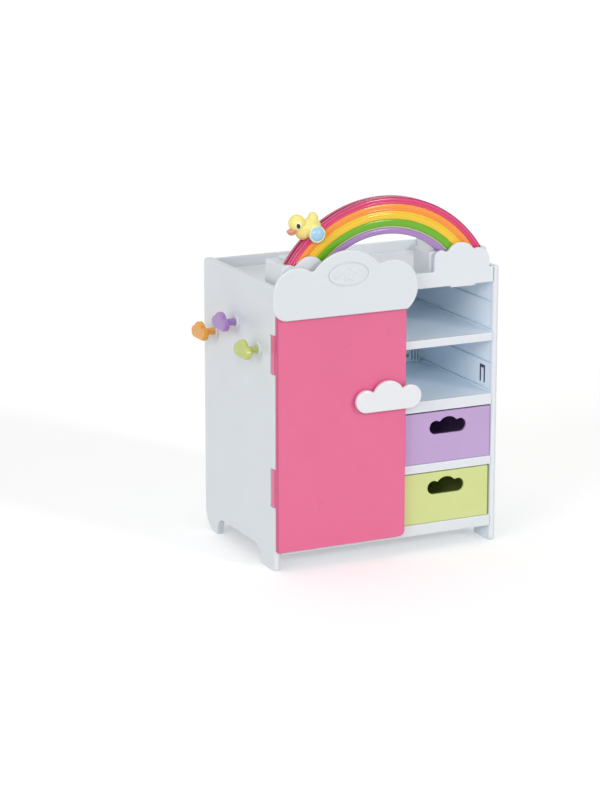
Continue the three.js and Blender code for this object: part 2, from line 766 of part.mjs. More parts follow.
// Front cloud, with a star in a ring raised on it
const cloudFace = handleBack - cloudThickness;
const cloudLobes = lobesOf(cloudLobeShares, cloudWidth, -cloudOverhang, cloudBottom);
let frontCloud = solid(extrude(
  cloudShape(cloudLobes, cloudBottom, cloudValleyRadius, -1),
  'y', cloudFace, handleBack, cloudEdgeRound, 1,
));
const starX = -cloudOverhang + starAcrossShare * cloudWidth;
const starZ = cloudBottom + starRise;
const starShape = new THREE.Shape(Array.from({ length: 2 * starPoints }, (_, i) => {
  const radius = i % 2 === 0 ? starOuter : starInner;
  const angle = Math.PI / 2 + (Math.PI * i) / starPoints;
  return new THREE.Vector2(-starX + radius * Math.cos(angle), starZ + radius * Math.sin(angle));
}));
const ringShape = new THREE.Shape().absarc(-starX, starZ, ringOuter, 0, 2 * Math.PI, false);
ringShape.holes.push(new THREE.Path().absarc(-starX, starZ, ringOuter - ringWidth, 0, 2 * Math.PI, true));
for (const relief of [starShape, ringShape]) {
  frontCloud = frontCloud.add(solid(
    extrude(relief, 'y', cloudFace - starRelief, cloudFace + cloudThickness / 2, 0, 1, 16),
  ));
}
add('front_cloud', withDoorScrewHoles(frontCloud), white);

// Small clouds that stand on the front rail
for (const [side, x] of footClouds) {
  const lobes = lobesOf(footCloudLobeShares, footCloudWidth, x, footCloudBottom);
  const shape = cloudShape(lobes, footCloudBottom, footCloudValleyRadius, -1, footCloudCorner);
  const plate = extrude(shape, 'y', 0, footCloudThickness, footCloudEdgeRound, 1);
  add(`${side}_foot_cloud`, plate, white);
}

// Drawers: an open box whose front has a cloud-shaped finger hole
function drawer(name, shelf, shift, color) {
  const middle = (dividerRight + innerRight) / 2 + shift;
  const left = middle - drawerWidth / 2;
  const right = middle + drawerWidth / 2;
  const bottom = shelf + drawerFloorGap;
  const rear = boardRear - drawerBackGap;
  const top = bottom + drawerHeight;
  const frontRear = drawerFrontInset + drawerFrontThickness;
  const frontShape = roundedRectangle(-right, bottom, -left, top, drawerCorner);
  const front = solid(extrude(frontShape, 'y', drawerFrontInset, frontRear, edgeRound, 1, 3));
  const inset = drawerWall / 2;
  const bin = box(left + inset, right - inset, frontRear - drawerWall, rear, bottom, top - drawerSideDrop)
    .subtract(box(
      left + inset + drawerWall, right - inset - drawerWall,
      frontRear, rear - drawerWall, bottom + drawerWall, top + overrun,
    ));
  const sill = bottom + cutoutRise;
  const lobes = lobesOf(cutoutLobeShares, cutoutWidth, middle - cutoutWidth / 2, sill);
  const cutout = solid(extrude(
    cloudShape(lobes, sill, cutoutValleyRadius, -1), 'y', drawerFrontInset - overrun, frontRear + overrun,
  ));
  add(name, front.add(bin).subtract(cutout), finish(color, 0.4));
}
drawer('purple_drawer', drawerShelfTop, purpleShift, 0xc1a5d3);
drawer('green_drawer', baseTop, greenShift, 0xd3dd94);

// Clothes rail in its two sockets
const railEnd = { left: innerLeft + seatGap, right: dividerLeft - seatGap };
add('clothes_rail', cylinder(
  'x', railRadius, railEnd.left + seatGap, railEnd.right - seatGap, railFromFront, railHeight, 20,
), whiteGloss);
for (const [side, from, to] of [
  ['left', railEnd.left, railEnd.left + railSocketLength],
  ['right', railEnd.right - railSocketLength, railEnd.right],
]) {
  const ring = cylinder('x', railSocketRadius, from, to, railFromFront, railHeight, 20);
  add(`${side}_rail_socket`, ring.subtract(cylinder(
    'x', railRadius + pinGap, from - overrun, to + overrun, railFromFront, railHeight, 20,
  )), white);
}

// Hangers, hooked over the rail
function hangerSolid(x) {
  const x0 = x - hangerThickness / 2;
  const x1 = x + hangerThickness / 2;
  const hookZ = railHeight + railRadius + seatGap - hookRadius;
  const outer = hookRadius + hookWire;
  const down = -Math.PI / 2;
  const hook = new THREE.Shape();
  hook.absarc(railFromFront, hookZ, outer, down, down + 2 * Math.PI - 2 * hookOpening, false);
  hook.absarc(railFromFront, hookZ, hookRadius, down + 2 * Math.PI - 2 * hookOpening, down, true);
  const half = hangerWidth / 2 - hangerBar / 2;
  const sweep = (half ** 2 + hangerDrop ** 2) / (2 * hangerDrop);
  const reach = Math.asin(half / sweep);
  const barTop = hookZ - outer - hangerNeck;
  const centre = barTop - hangerBar / 2 - sweep;
  const up = Math.PI / 2;
  const arms = new THREE.Shape();
  arms.absarc(railFromFront, centre, sweep + hangerBar / 2, up - reach, up + reach, false);
  const tip = (angle) => [
    railFromFront + sweep * Math.cos(angle), centre + sweep * Math.sin(angle),
  ];
  arms.absarc(...tip(up + reach), hangerBar / 2, up + reach, up + reach + Math.PI, false);
  arms.absarc(railFromFront, centre, sweep - hangerBar / 2, up + reach, up - reach, true);
  arms.absarc(...tip(up - reach), hangerBar / 2, up - reach - Math.PI, up - reach, false);
  const neck = box(
    x0 + edgeRound, x1 - edgeRound, railFromFront, railFromFront + hookWire,
    barTop - hangerBar / 2, hookZ - hookRadius - neckLap,
  );
  return solid(extrude(hook, 'x', x0, x1, 0, 1, 10))
    .add(solid(extrude(arms, 'x', x0, x1, 0, 1, 6)))
    .add(neck);
}
const hangerColors = [['pink', 0xd9668c], ['green', 0xcbdc83], ['lilac', 0xb69ccb]];
hangerColors.forEach(([name, color], i) => {
  const x = railEnd.left + hangerShares[i] * (railEnd.right - railEnd.left);
  add(`${name}_hanger`, hangerSolid(x), finish(color, 0.3));
});

// Pods on the tray that carry the rainbow's feet
function pod(left, width, depth) {
  const plan = roundedRectangle(left, podFront, left + width, podFront + depth, podCorner);
  return solid(extrude(
    plan, 'z', trayFloor + seatGap, podTop, podTopRound, 1, 3,
  ));
}
const podRear = podFront + leftPodDepth;
const switchX = podInset + switchInset;
const coverLeft = podInset + coverLeftInset;
const coverFront = podRear - coverRearInset - coverDepth;
const switchZ = trayFloor + switchRise;
const switchSlot = box(
  switchX - pinGap, switchX + switchWidth + switchTravel + pinGap, podRear - switchDepth, podRear + overrun,
  switchZ - switchHeight / 2 - pinGap, switchZ + switchHeight / 2 + pinGap,
);
const coverScrewX = coverLeft + coverWidth - coverScrewInset;
const coverScrewY = coverFront + coverDepth / 2;
const coverScrewBottom = podTop + seatGap + coverHeight / 2;
add('left_pod', pod(podInset, leftPodWidth, leftPodDepth).subtract(switchSlot), white);
const rightPodLeft = cabinetWidth - podInset - rightPodWidth;
add('right_pod', pod(rightPodLeft, rightPodWidth, rightPodDepth), white);

const coverPlan = roundedRectangle(
  coverLeft, coverFront, coverLeft + coverWidth, coverFront + coverDepth, coverCorner,
);
const coverTop = podTop + seatGap + coverHeight;
const cover = solid(extrude(coverPlan, 'z', podTop + seatGap, coverTop, edgeRound, 1, 2));
add('battery_cover', cover.subtract(cylinder(
  'z', coverScrewRadius + pinGap, coverScrewBottom - seatGap, coverTop + overrun, coverScrewX, coverScrewY,
)), white);
add('battery_cover_screw', cylinder(
  'z', coverScrewRadius, coverScrewBottom, coverScrewBottom + coverHeight - coverScrewSink,
  coverScrewX, coverScrewY,
), steel);
add('power_switch', box(
  switchX, switchX + switchWidth, podRear - switchDepth + seatGap, podRear + switchProud,
  switchZ - switchHeight / 2, switchZ + switchHeight / 2,
), finish(0x9a9ea3, 0.5));

// Rainbow: nested arcs that stand on the pods
function arcBand(outer, inner, front, rear, round) {
  const foot = podTop + seatGap - rainbowCentreHeight;
  const outerEnd = Math.asin(foot / outer);
  const innerEnd = Math.asin(foot / inner);
  const shape = new THREE.Shape();
  shape.absarc(-rainbowX, rainbowCentreHeight, outer, outerEnd, Math.PI - outerEnd, false);
  shape.absarc(-rainbowX, rainbowCentreHeight, inner, Math.PI - innerEnd, innerEnd, true);
  return solid(extrude(shape, 'y', front, rear, round, 1, 14));
}
const rainbowRear = rainbowFront + rainbowThickness;
let bandOuter = rainbowRadius;
bands.forEach((band, i) => {
  const inner = bandOuter - bandWidthShares[i] * rainbowWidth;
  const front = rainbowFront + band.inset;
  const rear = rainbowRear - band.inset;
  const round = band.inset < lightStripInset ? bandRound : 0;
  add(
    band.name, arcBand(bandOuter - bandGap / 2, inner + bandGap / 2, front, rear, round),
    finish(band.color, 0.2),
  );
  bandOuter = inner;
});

// Duckling, drawn level and facing left beside the arch
const rideRadius = rainbowRadius + duckLift;
const duckX = rainbowX - rideRadius * Math.sin(duckAngle);
const duckZ = rainbowCentreHeight + rideRadius * Math.cos(duckAngle);
const duckY = rainbowFront + rainbowThickness / 2;

function ellipsoid(along, across, up, x, y, z, rings = 8) {
  const geometry = new THREE.SphereGeometry(1, rings * 2, rings);
  geometry.scale(along, across, up);
  return solid(geometry.translate(x, y, z));
}

const headX = duckX - duckHeadForward;
const headZ = duckZ + duckHeadUp;
function headBall(grow) {
  const radius = duckHeadRadius + grow;
  return ellipsoid(radius, radius, radius, headX, duckY, headZ);
}
function bodyBall(grow) {
  return ellipsoid(
    duckHalfLength + grow, duckHalfWidth + grow, duckHalfHeight + grow, duckX, duckY, duckZ, 9,
  );
}
function duckTail() {
  const outline = duckTailShares.map(([across, along]) => (
    new THREE.Vector2(across * duckTailRadius, along * duckTailLength)
  ));
  const profile = [new THREE.Vector2(0, 0), ...outline, new THREE.Vector2(0, duckTailLength)];
  const geometry = new THREE.LatheGeometry(profile, 12);
  geometry.rotateX(Math.PI / 2);
  geometry.rotateY(duckTailLean);
  return solid(geometry.translate(
    duckX + duckTailBack, duckY, duckZ + duckTailRise - duckTailLength / 2,
  ));
}
function saddle() {
  const outer = rainbowRadius + slideGap;
  const inner = rainbowRadius - duckSaddleDepth;
  const shape = new THREE.Shape();
  shape.absarc(-rainbowX, rainbowCentreHeight, outer, 0, Math.PI, false);
  shape.absarc(-rainbowX, rainbowCentreHeight, inner, Math.PI, 0, true);
  return solid(extrude(shape, 'y', rainbowFront - slideGap, rainbowRear + slideGap, 0, 1, 40));
}
const duck = bodyBall(0).add(headBall(0)).add(duckTail()).subtract(saddle());
add('duckling_body', duck, finish(0xf3e587, 0.3));

const beak = ellipsoid(
  duckBeakHalfLength, duckBeakHalfWidth, duckBeakHalfHeight,
  headX - duckBeakForward, duckY, headZ - duckBeakDrop, 6,
);
add('duckling_beak', beak.subtract(headBall(seatGap)), finish(0xd9937a, 0.35));

for (const [side, sign] of [['front', -1], ['rear', 1]]) {
  const headHere = Math.sqrt(duckHeadRadius ** 2 - duckEyeForward ** 2 - duckEyeDrop ** 2);
  const eyeY = duckY + sign * (headHere + duckEyeProud + seatGap - duckEyeRadius);
  const eye = ellipsoid(
    duckEyeRadius, duckEyeRadius, duckEyeHalfHeight,
    headX - duckEyeForward, eyeY, headZ - duckEyeDrop, 5,
  );
  add(`duckling_${side}_eye`, eye.subtract(headBall(seatGap)), eyeBlack);
  const wingY = duckY + sign * (duckHalfWidth + duckWingProud - duckWingHalfThickness / 2);
  const wing = ellipsoid(
    duckWingRadius, duckWingHalfThickness, duckWingRadius,
    duckX + duckWingBack, wingY, duckZ - duckWingDrop, 6,
  ).subtract(bodyBall(seatGap)).subtract(saddle());
  add(`duckling_${side}_wing`, wing, finish(0xa9d3ee, 0.2));
}

// Knobs for hanging things on the left side: cloud-shaped heads on stems, in round bases
for (const knob of knobPlaces) {
  const bottom = knob.z - knobHeadDrop;
  const lobes = lobesOf(knobLobeShares, knobHeadWidth, knob.y - knobHeadWidth / 2, bottom);
  const head = solid(extrude(
    cloudShape(lobes, bottom, knobValleyRadius),
    'x', -knobReach, -knobReach + knobHeadThickness, knobEdgeRound, 1,
  ));
  const stem = cylinder(
    'x', knobStemRadius, -knobReach + knobHeadThickness / 2, -seatGap - knobBaseThickness - seatGap,
    knob.y, knob.z, 12,
  );
  const tongue = cylinder(
    'x', knobTongueRadius, -knobBaseThickness - overrun, sideThickness, knob.y, knob.z, 12,
  );
  add(knob.name, head.add(stem).add(tongue), finish(knob.color, 0.25));
  const base = cylinder('x', knobBaseRadius, -seatGap - knobBaseThickness, -seatGap, knob.y, knob.z, 24);
  const bore = cylinder(
    'x', knobTongueRadius + pinGap, -knobBaseThickness - overrun, overrun, knob.y, knob.z,
  );
  add(`${knob.name}_base`, base.subtract(bore), white);
}

// The origin is on the floor, at the middle of the whole footprint
root.position.set(-(cabinetWidth - knobReach) / 2, -(cabinetDepth + handleFace) / 2, 0);

export default root;
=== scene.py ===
# %% [markdown]
# # A doll's wardrobe in moulded plastic
#
# The wardrobe is a white cabinet with a pink door, two drawers, open shelves, clouds on its front
# and a rainbow on its roof. Its solids come from a CAD model, which is loaded first and never
# moved. Each solid is then either given a finish or replaced by a smoother piece, drawn here.

# %% Load the frame
import json
import math

import bpy
import numpy as np
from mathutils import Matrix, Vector
from mathutils.geometry import tessellate_polygon

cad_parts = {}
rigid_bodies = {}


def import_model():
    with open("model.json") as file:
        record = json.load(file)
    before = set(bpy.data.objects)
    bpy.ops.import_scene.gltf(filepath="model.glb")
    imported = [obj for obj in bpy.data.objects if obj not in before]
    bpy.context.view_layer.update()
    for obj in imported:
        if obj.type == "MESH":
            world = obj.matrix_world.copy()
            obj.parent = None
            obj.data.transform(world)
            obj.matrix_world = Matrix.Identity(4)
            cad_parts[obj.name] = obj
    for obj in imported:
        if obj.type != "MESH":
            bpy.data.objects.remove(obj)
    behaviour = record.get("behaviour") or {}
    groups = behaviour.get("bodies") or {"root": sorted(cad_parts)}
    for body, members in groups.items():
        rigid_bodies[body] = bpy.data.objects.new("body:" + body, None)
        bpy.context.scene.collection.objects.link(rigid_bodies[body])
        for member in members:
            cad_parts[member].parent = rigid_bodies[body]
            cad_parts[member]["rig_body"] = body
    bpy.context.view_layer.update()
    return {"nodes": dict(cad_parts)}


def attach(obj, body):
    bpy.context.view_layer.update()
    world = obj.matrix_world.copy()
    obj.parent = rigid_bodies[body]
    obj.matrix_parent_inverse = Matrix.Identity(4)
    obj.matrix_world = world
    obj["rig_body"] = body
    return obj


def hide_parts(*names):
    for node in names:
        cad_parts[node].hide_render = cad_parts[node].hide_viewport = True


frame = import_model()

# %% [markdown]
# ## A drawing in millimetres
#
# A maker measures a cabinet from one corner, in millimetres. All the numbers below do the same:
# x runs to the right from the left side's outer face, y runs back from the front edges, and z runs
# up from the floor. One function turns them into the frame's metres, so nothing is ever scaled.

# %% Drawing to frame
DRAWING_ORIGIN = np.array([163.5, 111.85, 0.0])


def metres(points):
    """(point - drawing origin) / 1000."""
    return (np.asarray(points, float) - DRAWING_ORIGIN) / 1000


print("cabinet corner in metres", metres([0, 0, 0]))

# %% [markdown]
# ## Smooth where it is round, flat where it is flat
#
# Moulded plastic has flat faces that meet in small round edges. If every vertex simply takes the
# mean of the faces round it, a flat face looks dented near its edges. So each corner of a face
# takes the mean of its neighbours' normals weighted by their areas, and leaves out those that
# lean more than the crease angle: large flat faces then stay flat.

# %% Normals
CREASE = math.radians(38)
SQUARE_MM = 1e-6    # in square metres


def set_normals(mesh, weights):
    """Corner normal = sum of (area * normal) over the faces at the vertex within the crease, made
    one long. A weight above 0, in square mm, takes the place of a face's own area."""
    loops = len(mesh.loops)
    vertex = np.empty(loops, np.int32)
    mesh.loops.foreach_get("vertex_index", vertex)
    sides = np.empty(len(mesh.polygons), np.int32)
    mesh.polygons.foreach_get("loop_total", sides)
    normal = np.empty(3 * len(sides), np.float32)
    mesh.polygons.foreach_get("normal", normal)
    area = np.empty(len(sides), np.float32)
    mesh.polygons.foreach_get("area", area)
    normal = normal.reshape(-1, 3).astype(float)
    weight = np.where(weights > 0, weights * SQUARE_MM, area)
    face = np.repeat(np.arange(len(sides)), sides)
    order = np.argsort(vertex, kind="stable")
    degree = np.bincount(vertex, minlength=len(mesh.vertices))
    start = np.concatenate([[0], np.cumsum(degree)[:-1]])
    each = degree[vertex[order]]
    mine = np.repeat(order, each)
    within = np.arange(len(mine)) - np.repeat(np.cumsum(each) - each, each)
    other = order[start[vertex[mine]] + within]
    near = np.sum(normal[face[mine]] * normal[face[other]], axis=1) > math.cos(CREASE)
    share = normal[face[other]] * (weight[face[other]] * near)[:, None]
    total = np.stack([np.bincount(mine, share[:, i], loops) for i in range(3)], axis=1)
    total /= np.maximum(np.linalg.norm(total, axis=1, keepdims=True), 1e-12)
    mesh.normals_split_custom_set(total.tolist())


print("faces run smoothly into each other up to", round(math.degrees(CREASE)), "degrees")

# %% [markdown]
# ## A piece
#
# A visible piece may be several closed bodies pushed into each other, as ribs run into a wall. They
# become one mesh, with its place in the mesh itself. The piece takes the place of one or more CAD
# nodes and rides on their body, so that it moves as they do.

# %% Pieces
def joined(name, bodies):
    """One object of closed bodies, (points in mm, faces, weights). The number that a face gives to
    a point grows by the count of the points in the bodies before it."""
    first = np.cumsum([0] + [len(points) for points, _, _ in bodies])
    faces = [[i + at for i in f] for (_, fs, _), at in zip(bodies, first) for f in fs]
    mesh = bpy.data.meshes.new(name)
    mesh.from_pydata(metres(np.concatenate([b[0] for b in bodies])).tolist(), [], faces)
    made = bpy.data.objects.new(name, mesh)
    bpy.context.scene.collection.objects.link(made)
    return made


def piece(name, nodes, bodies, finish, body=""):
    """One piece in the CAD nodes' place. A small extra piece stands in for no node, and only rides
    on a body. In a closed mesh, each edge has two face corners."""
    made = joined(name, bodies)
    mesh = made.data
    mesh.polygons.foreach_set("use_smooth", np.ones(len(mesh.polygons), bool))
    set_normals(mesh, np.concatenate([weights for _, _, weights in bodies]))
    mesh.materials.append(finish)
    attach(made, body or frame["nodes"][nodes[0]]["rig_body"])
    if nodes:
        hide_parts(*nodes)
    closed = len(mesh.loops) == 2 * len(mesh.edges)
    size = f"{len(mesh.vertices)} points, {len(mesh.polygons)} faces"
    print(f"{name}: {size}, edges closed: {closed}")


# %% [markdown]
# ## Outlines
#
# Nearly every panel here is a flat outline with a thickness. An outline is a row of points, drawn
# anticlockwise. Its corners are cut round by arcs, and an arc has more points the longer it is and
# the more it turns, so that small and large rounds look equally smooth.

# %% Outlines
ARC_STEP, LONGEST_STEP = 0.09, 4.0    # radians, mm
TOUCHING = 1e-3    # mm


def arc(x, y, radius, start, end):
    """centre + radius * (cos a, sin a), for angles a from start to end."""
    turn = abs(end - start)
    count = max(2, math.ceil(turn / ARC_STEP), math.ceil(turn * radius / LONGEST_STEP))
    a = np.linspace(start, end, count + 1)
    return np.stack([x + radius * np.cos(a), y + radius * np.sin(a)], axis=1)


def without_doubles(points):
    """Leaves out each point that touches the one before it."""
    return points[np.linalg.norm(points - np.roll(points, 1, axis=0), axis=1) > TOUCHING]


def rounded(corners, radii):
    """A corner of radius r becomes an arc that starts r / tan(half its angle) before it."""
    corners = np.asarray(corners, float)
    radii = np.broadcast_to(radii, len(corners))
    parts = []
    for i, (corner, radius) in enumerate(zip(corners, radii)):
        back, on = corners[i - 1] - corner, corners[(i + 1) % len(corners)] - corner
        back, on = back / np.linalg.norm(back), on / np.linalg.norm(on)
        if radius == 0:
            parts.append(corner[None])
            continue
        half = math.acos(np.clip(back @ on, -1, 1)) / 2
        centre = corner + (back + on) / np.linalg.norm(back + on) * radius / math.sin(half)
        first = corner + back * radius / math.tan(half) - centre
        last = corner + on * radius / math.tan(half) - centre
        start = math.atan2(first[1], first[0])
        turn = math.atan2(first[0] * last[1] - first[1] * last[0], first @ last)
        parts.append(arc(*centre, radius, start, start + turn))
    return without_doubles(np.concatenate(parts))


def rectangle(x0, y0, x1, y1, radii=0.0):
    """Four corners from the lower left, each cut round."""
    return rounded([(x0, y0), (x1, y0), (x1, y1), (x0, y1)], radii)


def circle(x, y, radius, points=40):
    """centre + radius * (cos a, sin a), for a in equal steps."""
    a = np.arange(points) * 2 * np.pi / points
    return np.stack([x + radius * np.cos(a), y + radius * np.sin(a)], axis=1)


print("a 40 mm square with round corners has", len(rectangle(0, 0, 40, 40, 5)), "points")

# %% [markdown]
# ## Clouds
#
# The toy repeats one ornament in five sizes: a cloud with a flat bottom and three puffs. Each puff
# is a circle, and a smaller circle that rests on two puffs rounds the dip between them. Circles
# keep every cloud crisp, where a free-hand curve would wobble.

# %% Clouds
def crossing(a, b, margin):
    """The upper point where two circles (x, y, radius), both grown by a margin, cross. It lies
    (d * d + near * near - far * far) / 2 d along the line of the centres, d apart, and beside
    that line by the root of near * near - along * along."""
    d = np.array(b[:2]) - np.array(a[:2])
    apart = np.hypot(*d)
    near, far = a[2] + margin, b[2] + margin
    along = (apart**2 + near**2 - far**2) / (2 * apart)
    off = math.sqrt(near**2 - along**2)
    return np.array(a[:2]) + (along * d + off * np.array([-d[1], d[0]])) / apart


def toward(a, b):
    """The angle at which b lies, seen from a."""
    return math.atan2(b[1] - a[1], b[0] - a[0])


def puffs_at(shares, width, left, bottom):
    """Circles from (x, height, radius), in shares of a cloud's width."""
    return [(left + x * width, bottom + z * width, r * width) for x, z, r in shares]


def over_puffs(puffs, valley, start, end):
    """Arcs over a row of puffs, from the right-hand one to the left-hand one."""
    dips = [crossing(a, b, valley) for a, b in zip(puffs, puffs[1:])]
    parts = []
    for i in range(len(puffs) - 1, -1, -1):
        first = start if i == len(dips) else toward(puffs[i], dips[i])
        last = end if i == 0 else toward(puffs[i], dips[i - 1])
        parts.append(arc(*puffs[i], first, last if last > first else last + 2 * np.pi))
        if i:
            dip = dips[i - 1]
            parts.append(arc(*dip, valley, toward(dip, puffs[i]), toward(dip, puffs[i - 1])))
    return np.concatenate(parts)


CLOUD_CORNER = 3.0    # between the flat bottom and an end puff


def cloud(shares, width, left, bottom, valley, heel=0.0):
    """A cloud on a flat bottom. A corner of radius f touches the bottom and the end puff from
    inside, so its centre is r - f from the puff's centre. A heel is a larger corner below the left
    puff, which it meets with an upright side."""
    puffs = puffs_at(shares, width, left, bottom)
    ends = []
    for sign, (x, z, r) in ((1, puffs[-1]), (-1, puffs[0])):
        run = math.sqrt(max(0.0, (r - CLOUD_CORNER) ** 2 - (z - bottom - CLOUD_CORNER) ** 2))
        ends.append((x + sign * run, bottom + CLOUD_CORNER))
    start, end, left_corner = toward(puffs[-1], ends[0]), toward(puffs[0], ends[1]), CLOUD_CORNER
    end += 2 * np.pi if end < 0 else 0
    if heel:
        end, left_corner = np.pi, heel
        ends[1] = (puffs[0][0] - puffs[0][2] + heel, bottom + heel)
    return without_doubles(np.concatenate([
        arc(*ends[0], CLOUD_CORNER, -np.pi / 2, start), over_puffs(puffs, valley, start, end),
        arc(*ends[1], left_corner, end, 1.5 * np.pi),
    ]))


two_puffs = cloud([(0.3, 0.3, 0.3), (0.7, 0.3, 0.3)], 100, 0, 0, valley=3.0)
print("a cloud of two puffs has", len(two_puffs), "points")

# %% [markdown]
# ## Walls with round edges
#
# A bevel modifier could round a panel's edges, but it slips where two puffs of a cloud meet. Here
# the outline is drawn in instead, a little more at each step round the edge. Every side moves
# inwards by the same amount, so the edge is equally round all the way.

# %% Walls
EDGE_STEPS = 5


def inset(outline, distance, way=None):
    """corner + distance * (n + m) / (1 + n . m), n and m being its two sides' inward normals.
    Where a way in is given for each corner, the corner moves along that instead."""
    if way is not None:
        return outline + way * np.reshape(distance, (-1, 1))
    side = np.roll(outline, -1, axis=0) - outline
    side /= np.linalg.norm(side, axis=1, keepdims=True)
    after = np.stack([-side[:, 1], side[:, 0]], axis=1)
    before = np.roll(after, 1, axis=0)
    mitre = (before + after) / (1 + np.sum(before * after, axis=1, keepdims=True))
    return outline + mitre * np.reshape(distance, (-1, 1))


def wall(outline, low, high, round_low=0.0, round_high=0.0, way=None):
    """Rings of an outline from low to high. Near an end they are drawn in by
    radius * (1 - sin t), at radius * (1 - cos t) from it, which is a quarter round."""
    rings = []
    for end, sign, radius in ((low, 1, round_low), (high, -1, round_high)):
        soft = np.max(radius) > 0
        t = np.linspace(0, np.pi / 2, EDGE_STEPS + 1) if soft else np.array([np.pi / 2])
        rows = [
            np.column_stack([
                inset(outline, radius * (1 - math.sin(a)), way),
                np.broadcast_to(end + sign * radius * (1 - math.cos(a)), len(outline)),
            ])
            for a in t
        ]
        rings += rows if sign > 0 else rows[::-1]
    return np.stack(rings)


def ring_faces(rows, columns, first=0):
    """Faces between neighbouring rings of a grid of points."""
    index = first + np.arange(rows * columns).reshape(rows, columns)
    on = np.roll(index, -1, axis=1)
    return np.stack([index[:-1], on[:-1], on[1:], index[1:]], axis=-1).reshape(-1, 4)


print("a wall's rings, points and coordinates:", wall(two_puffs, 0, 5, 1.0, 1.0).shape)

# %% [markdown]
# ## Panels
#
# A panel is a wall closed by a flat face at each end. A hole runs right through it, and a pocket
# stops at a floor of its own. A flat face with holes is cut into triangles, and all of its
# triangles weigh as much as the whole face when the normals are worked out.

# %% Flat faces
def cap_faces(loops, firsts, up):
    """A flat face inside the first loop and outside the others, as triangles if it has holes. Its
    area is half the sum of u * next v - v * next u round the first loop."""
    index = np.concatenate([first + np.arange(len(loop)) for loop, first in zip(loops, firsts)])
    flat = np.concatenate(loops)[:, :2]
    edge = np.roll(loops[0], -1, axis=0)
    area = np.sum(loops[0][:, 0] * edge[:, 1] - loops[0][:, 1] * edge[:, 0]) / 2
    if len(loops) == 1:
        faces = [index.tolist() if up else index[::-1].tolist()]
    else:
        level = [(loop * (1, 1, 0)).tolist() for loop in loops]
        found = np.array(tessellate_polygon(level))
        a, b, c = (flat[found[:, i]] for i in range(3))
        turn = (b - a)[:, 0] * (c - a)[:, 1] - (b - a)[:, 1] * (c - a)[:, 0]
        wrong = (turn < 0) if up else (turn > 0)
        found[wrong] = found[wrong][:, ::-1]
        faces = index[found].tolist()
    return faces, np.full(len(faces), abs(area))


square = wall(rectangle(0, 0, 9, 9), 0, 1)
print("area of a 9 mm square:", cap_faces([square[-1]], [0], True)[1])

# %% Panels
VIEWS = {
    "top": lambda u, v, w: (u, v, w),
    "right": lambda u, v, w: (w, u, v),
    "front": lambda u, v, w: (u, -w, v),
}


def panel(view, outline, back, front, rounds=(0.0, 0.0), holes=(), pockets=(), way=None):
    """A closed panel between two places along the axis that it faces. A hole is (outline,
    radius). A pocket is (outline, depth, radius, "back" or "front")."""
    sign = -1 if view == "front" else 1
    low, high = sign * back, sign * front
    grids, low_loops, high_loops = [wall(outline, low, high, *rounds, way)], [0], [0]
    for hole, radius in holes:
        low_loops.append(len(grids))
        high_loops.append(len(grids))
        grids.append(wall(hole[::-1], low, high, radius, radius))
    floors = []
    for pocket, depth, radius, side in pockets:
        (low_loops if side == "back" else high_loops).append(len(grids))
        floors.append((len(grids), side))
        if side == "back":
            grids.append(wall(pocket[::-1], low, low + depth, radius, 0.0))
        else:
            grids.append(wall(pocket[::-1], high - depth, high, 0.0, radius))
    first = np.cumsum([0] + [g.shape[0] * g.shape[1] for g in grids])
    faces, weights = [], []
    for grid, at in zip(grids, first):
        found = ring_faces(*grid.shape[:2], at).tolist()
        faces += found
        weights.append(np.zeros(len(found)))
    last = [at + (len(grid) - 1) * grid.shape[1] for grid, at in zip(grids, first)]
    caps = [
        ([grids[g][0] for g in low_loops], [first[g] for g in low_loops], False),
        ([grids[g][-1] for g in high_loops], [last[g] for g in high_loops], True),
    ]
    for g, side in floors:
        from_back = side == "back"
        ring, at = (grids[g][-1], last[g]) if from_back else (grids[g][0], first[g])
        caps.append(([ring], [at], from_back))
    for loops, firsts, up in caps:
        found, weight = cap_faces(loops, firsts, up)
        faces += found
        weights.append(weight)
    points = np.concatenate([g.reshape(-1, 3) for g in grids])
    u, v, w = points.T
    return np.stack(VIEWS[view](u, v, w), axis=1), faces, np.concatenate(weights)


print("a plain cube has", len(panel("top", rectangle(0, 0, 1, 1), 0, 1)[0]), "points")

# %% [markdown]
# ## Tubes
#
# What keeps its section along a line is a stack of rings: the rainbow's bands and whatever a lathe
# would turn, such as the clothes rail and the knobs' stems. Each end is closed by a flat face.

# %% Tubes
def tube(rings):
    """A closed body from rings of points, (rings, points, 3), with a flat face at each end."""
    rows, columns = rings.shape[:2]
    faces = ring_faces(rows, columns).tolist()
    faces += [list(range(columns))[::-1], list(range((rows - 1) * columns, rows * columns))]
    return rings.reshape(-1, 3), faces, np.zeros(len(faces))


def turned(axis, centre, profile, points=40):
    """A profile of (radius, place along the axis), from one end to the other, turned round."""
    profile = np.asarray(profile, float)
    ring = circle(0, 0, 1, points)
    u = profile[:, 0, None] * ring[:, 0]
    v = profile[:, 0, None] * ring[:, 1]
    w = np.broadcast_to(profile[:, 1, None], u.shape)
    x, y, z = {"x": (w, u, v), "y": (v, w, u), "z": (u, v, w)}[axis]
    return tube(np.stack([x, y, z], axis=-1) + np.asarray(centre, float))


pin = turned("z", (0, 0, 0), [(1, 0), (1, 5)])
print("a turned pin has", len(pin[0]), "points")

# %% [markdown]
# ## Finishes
#
# All of it is injection-moulded plastic. Such a surface is never quite even: the colour drifts a
# little with the thickness, the gloss is duller where it has been handled, and a fine grain shows
# in the highlights. One small class lets the shader's sums be written as plain expressions.

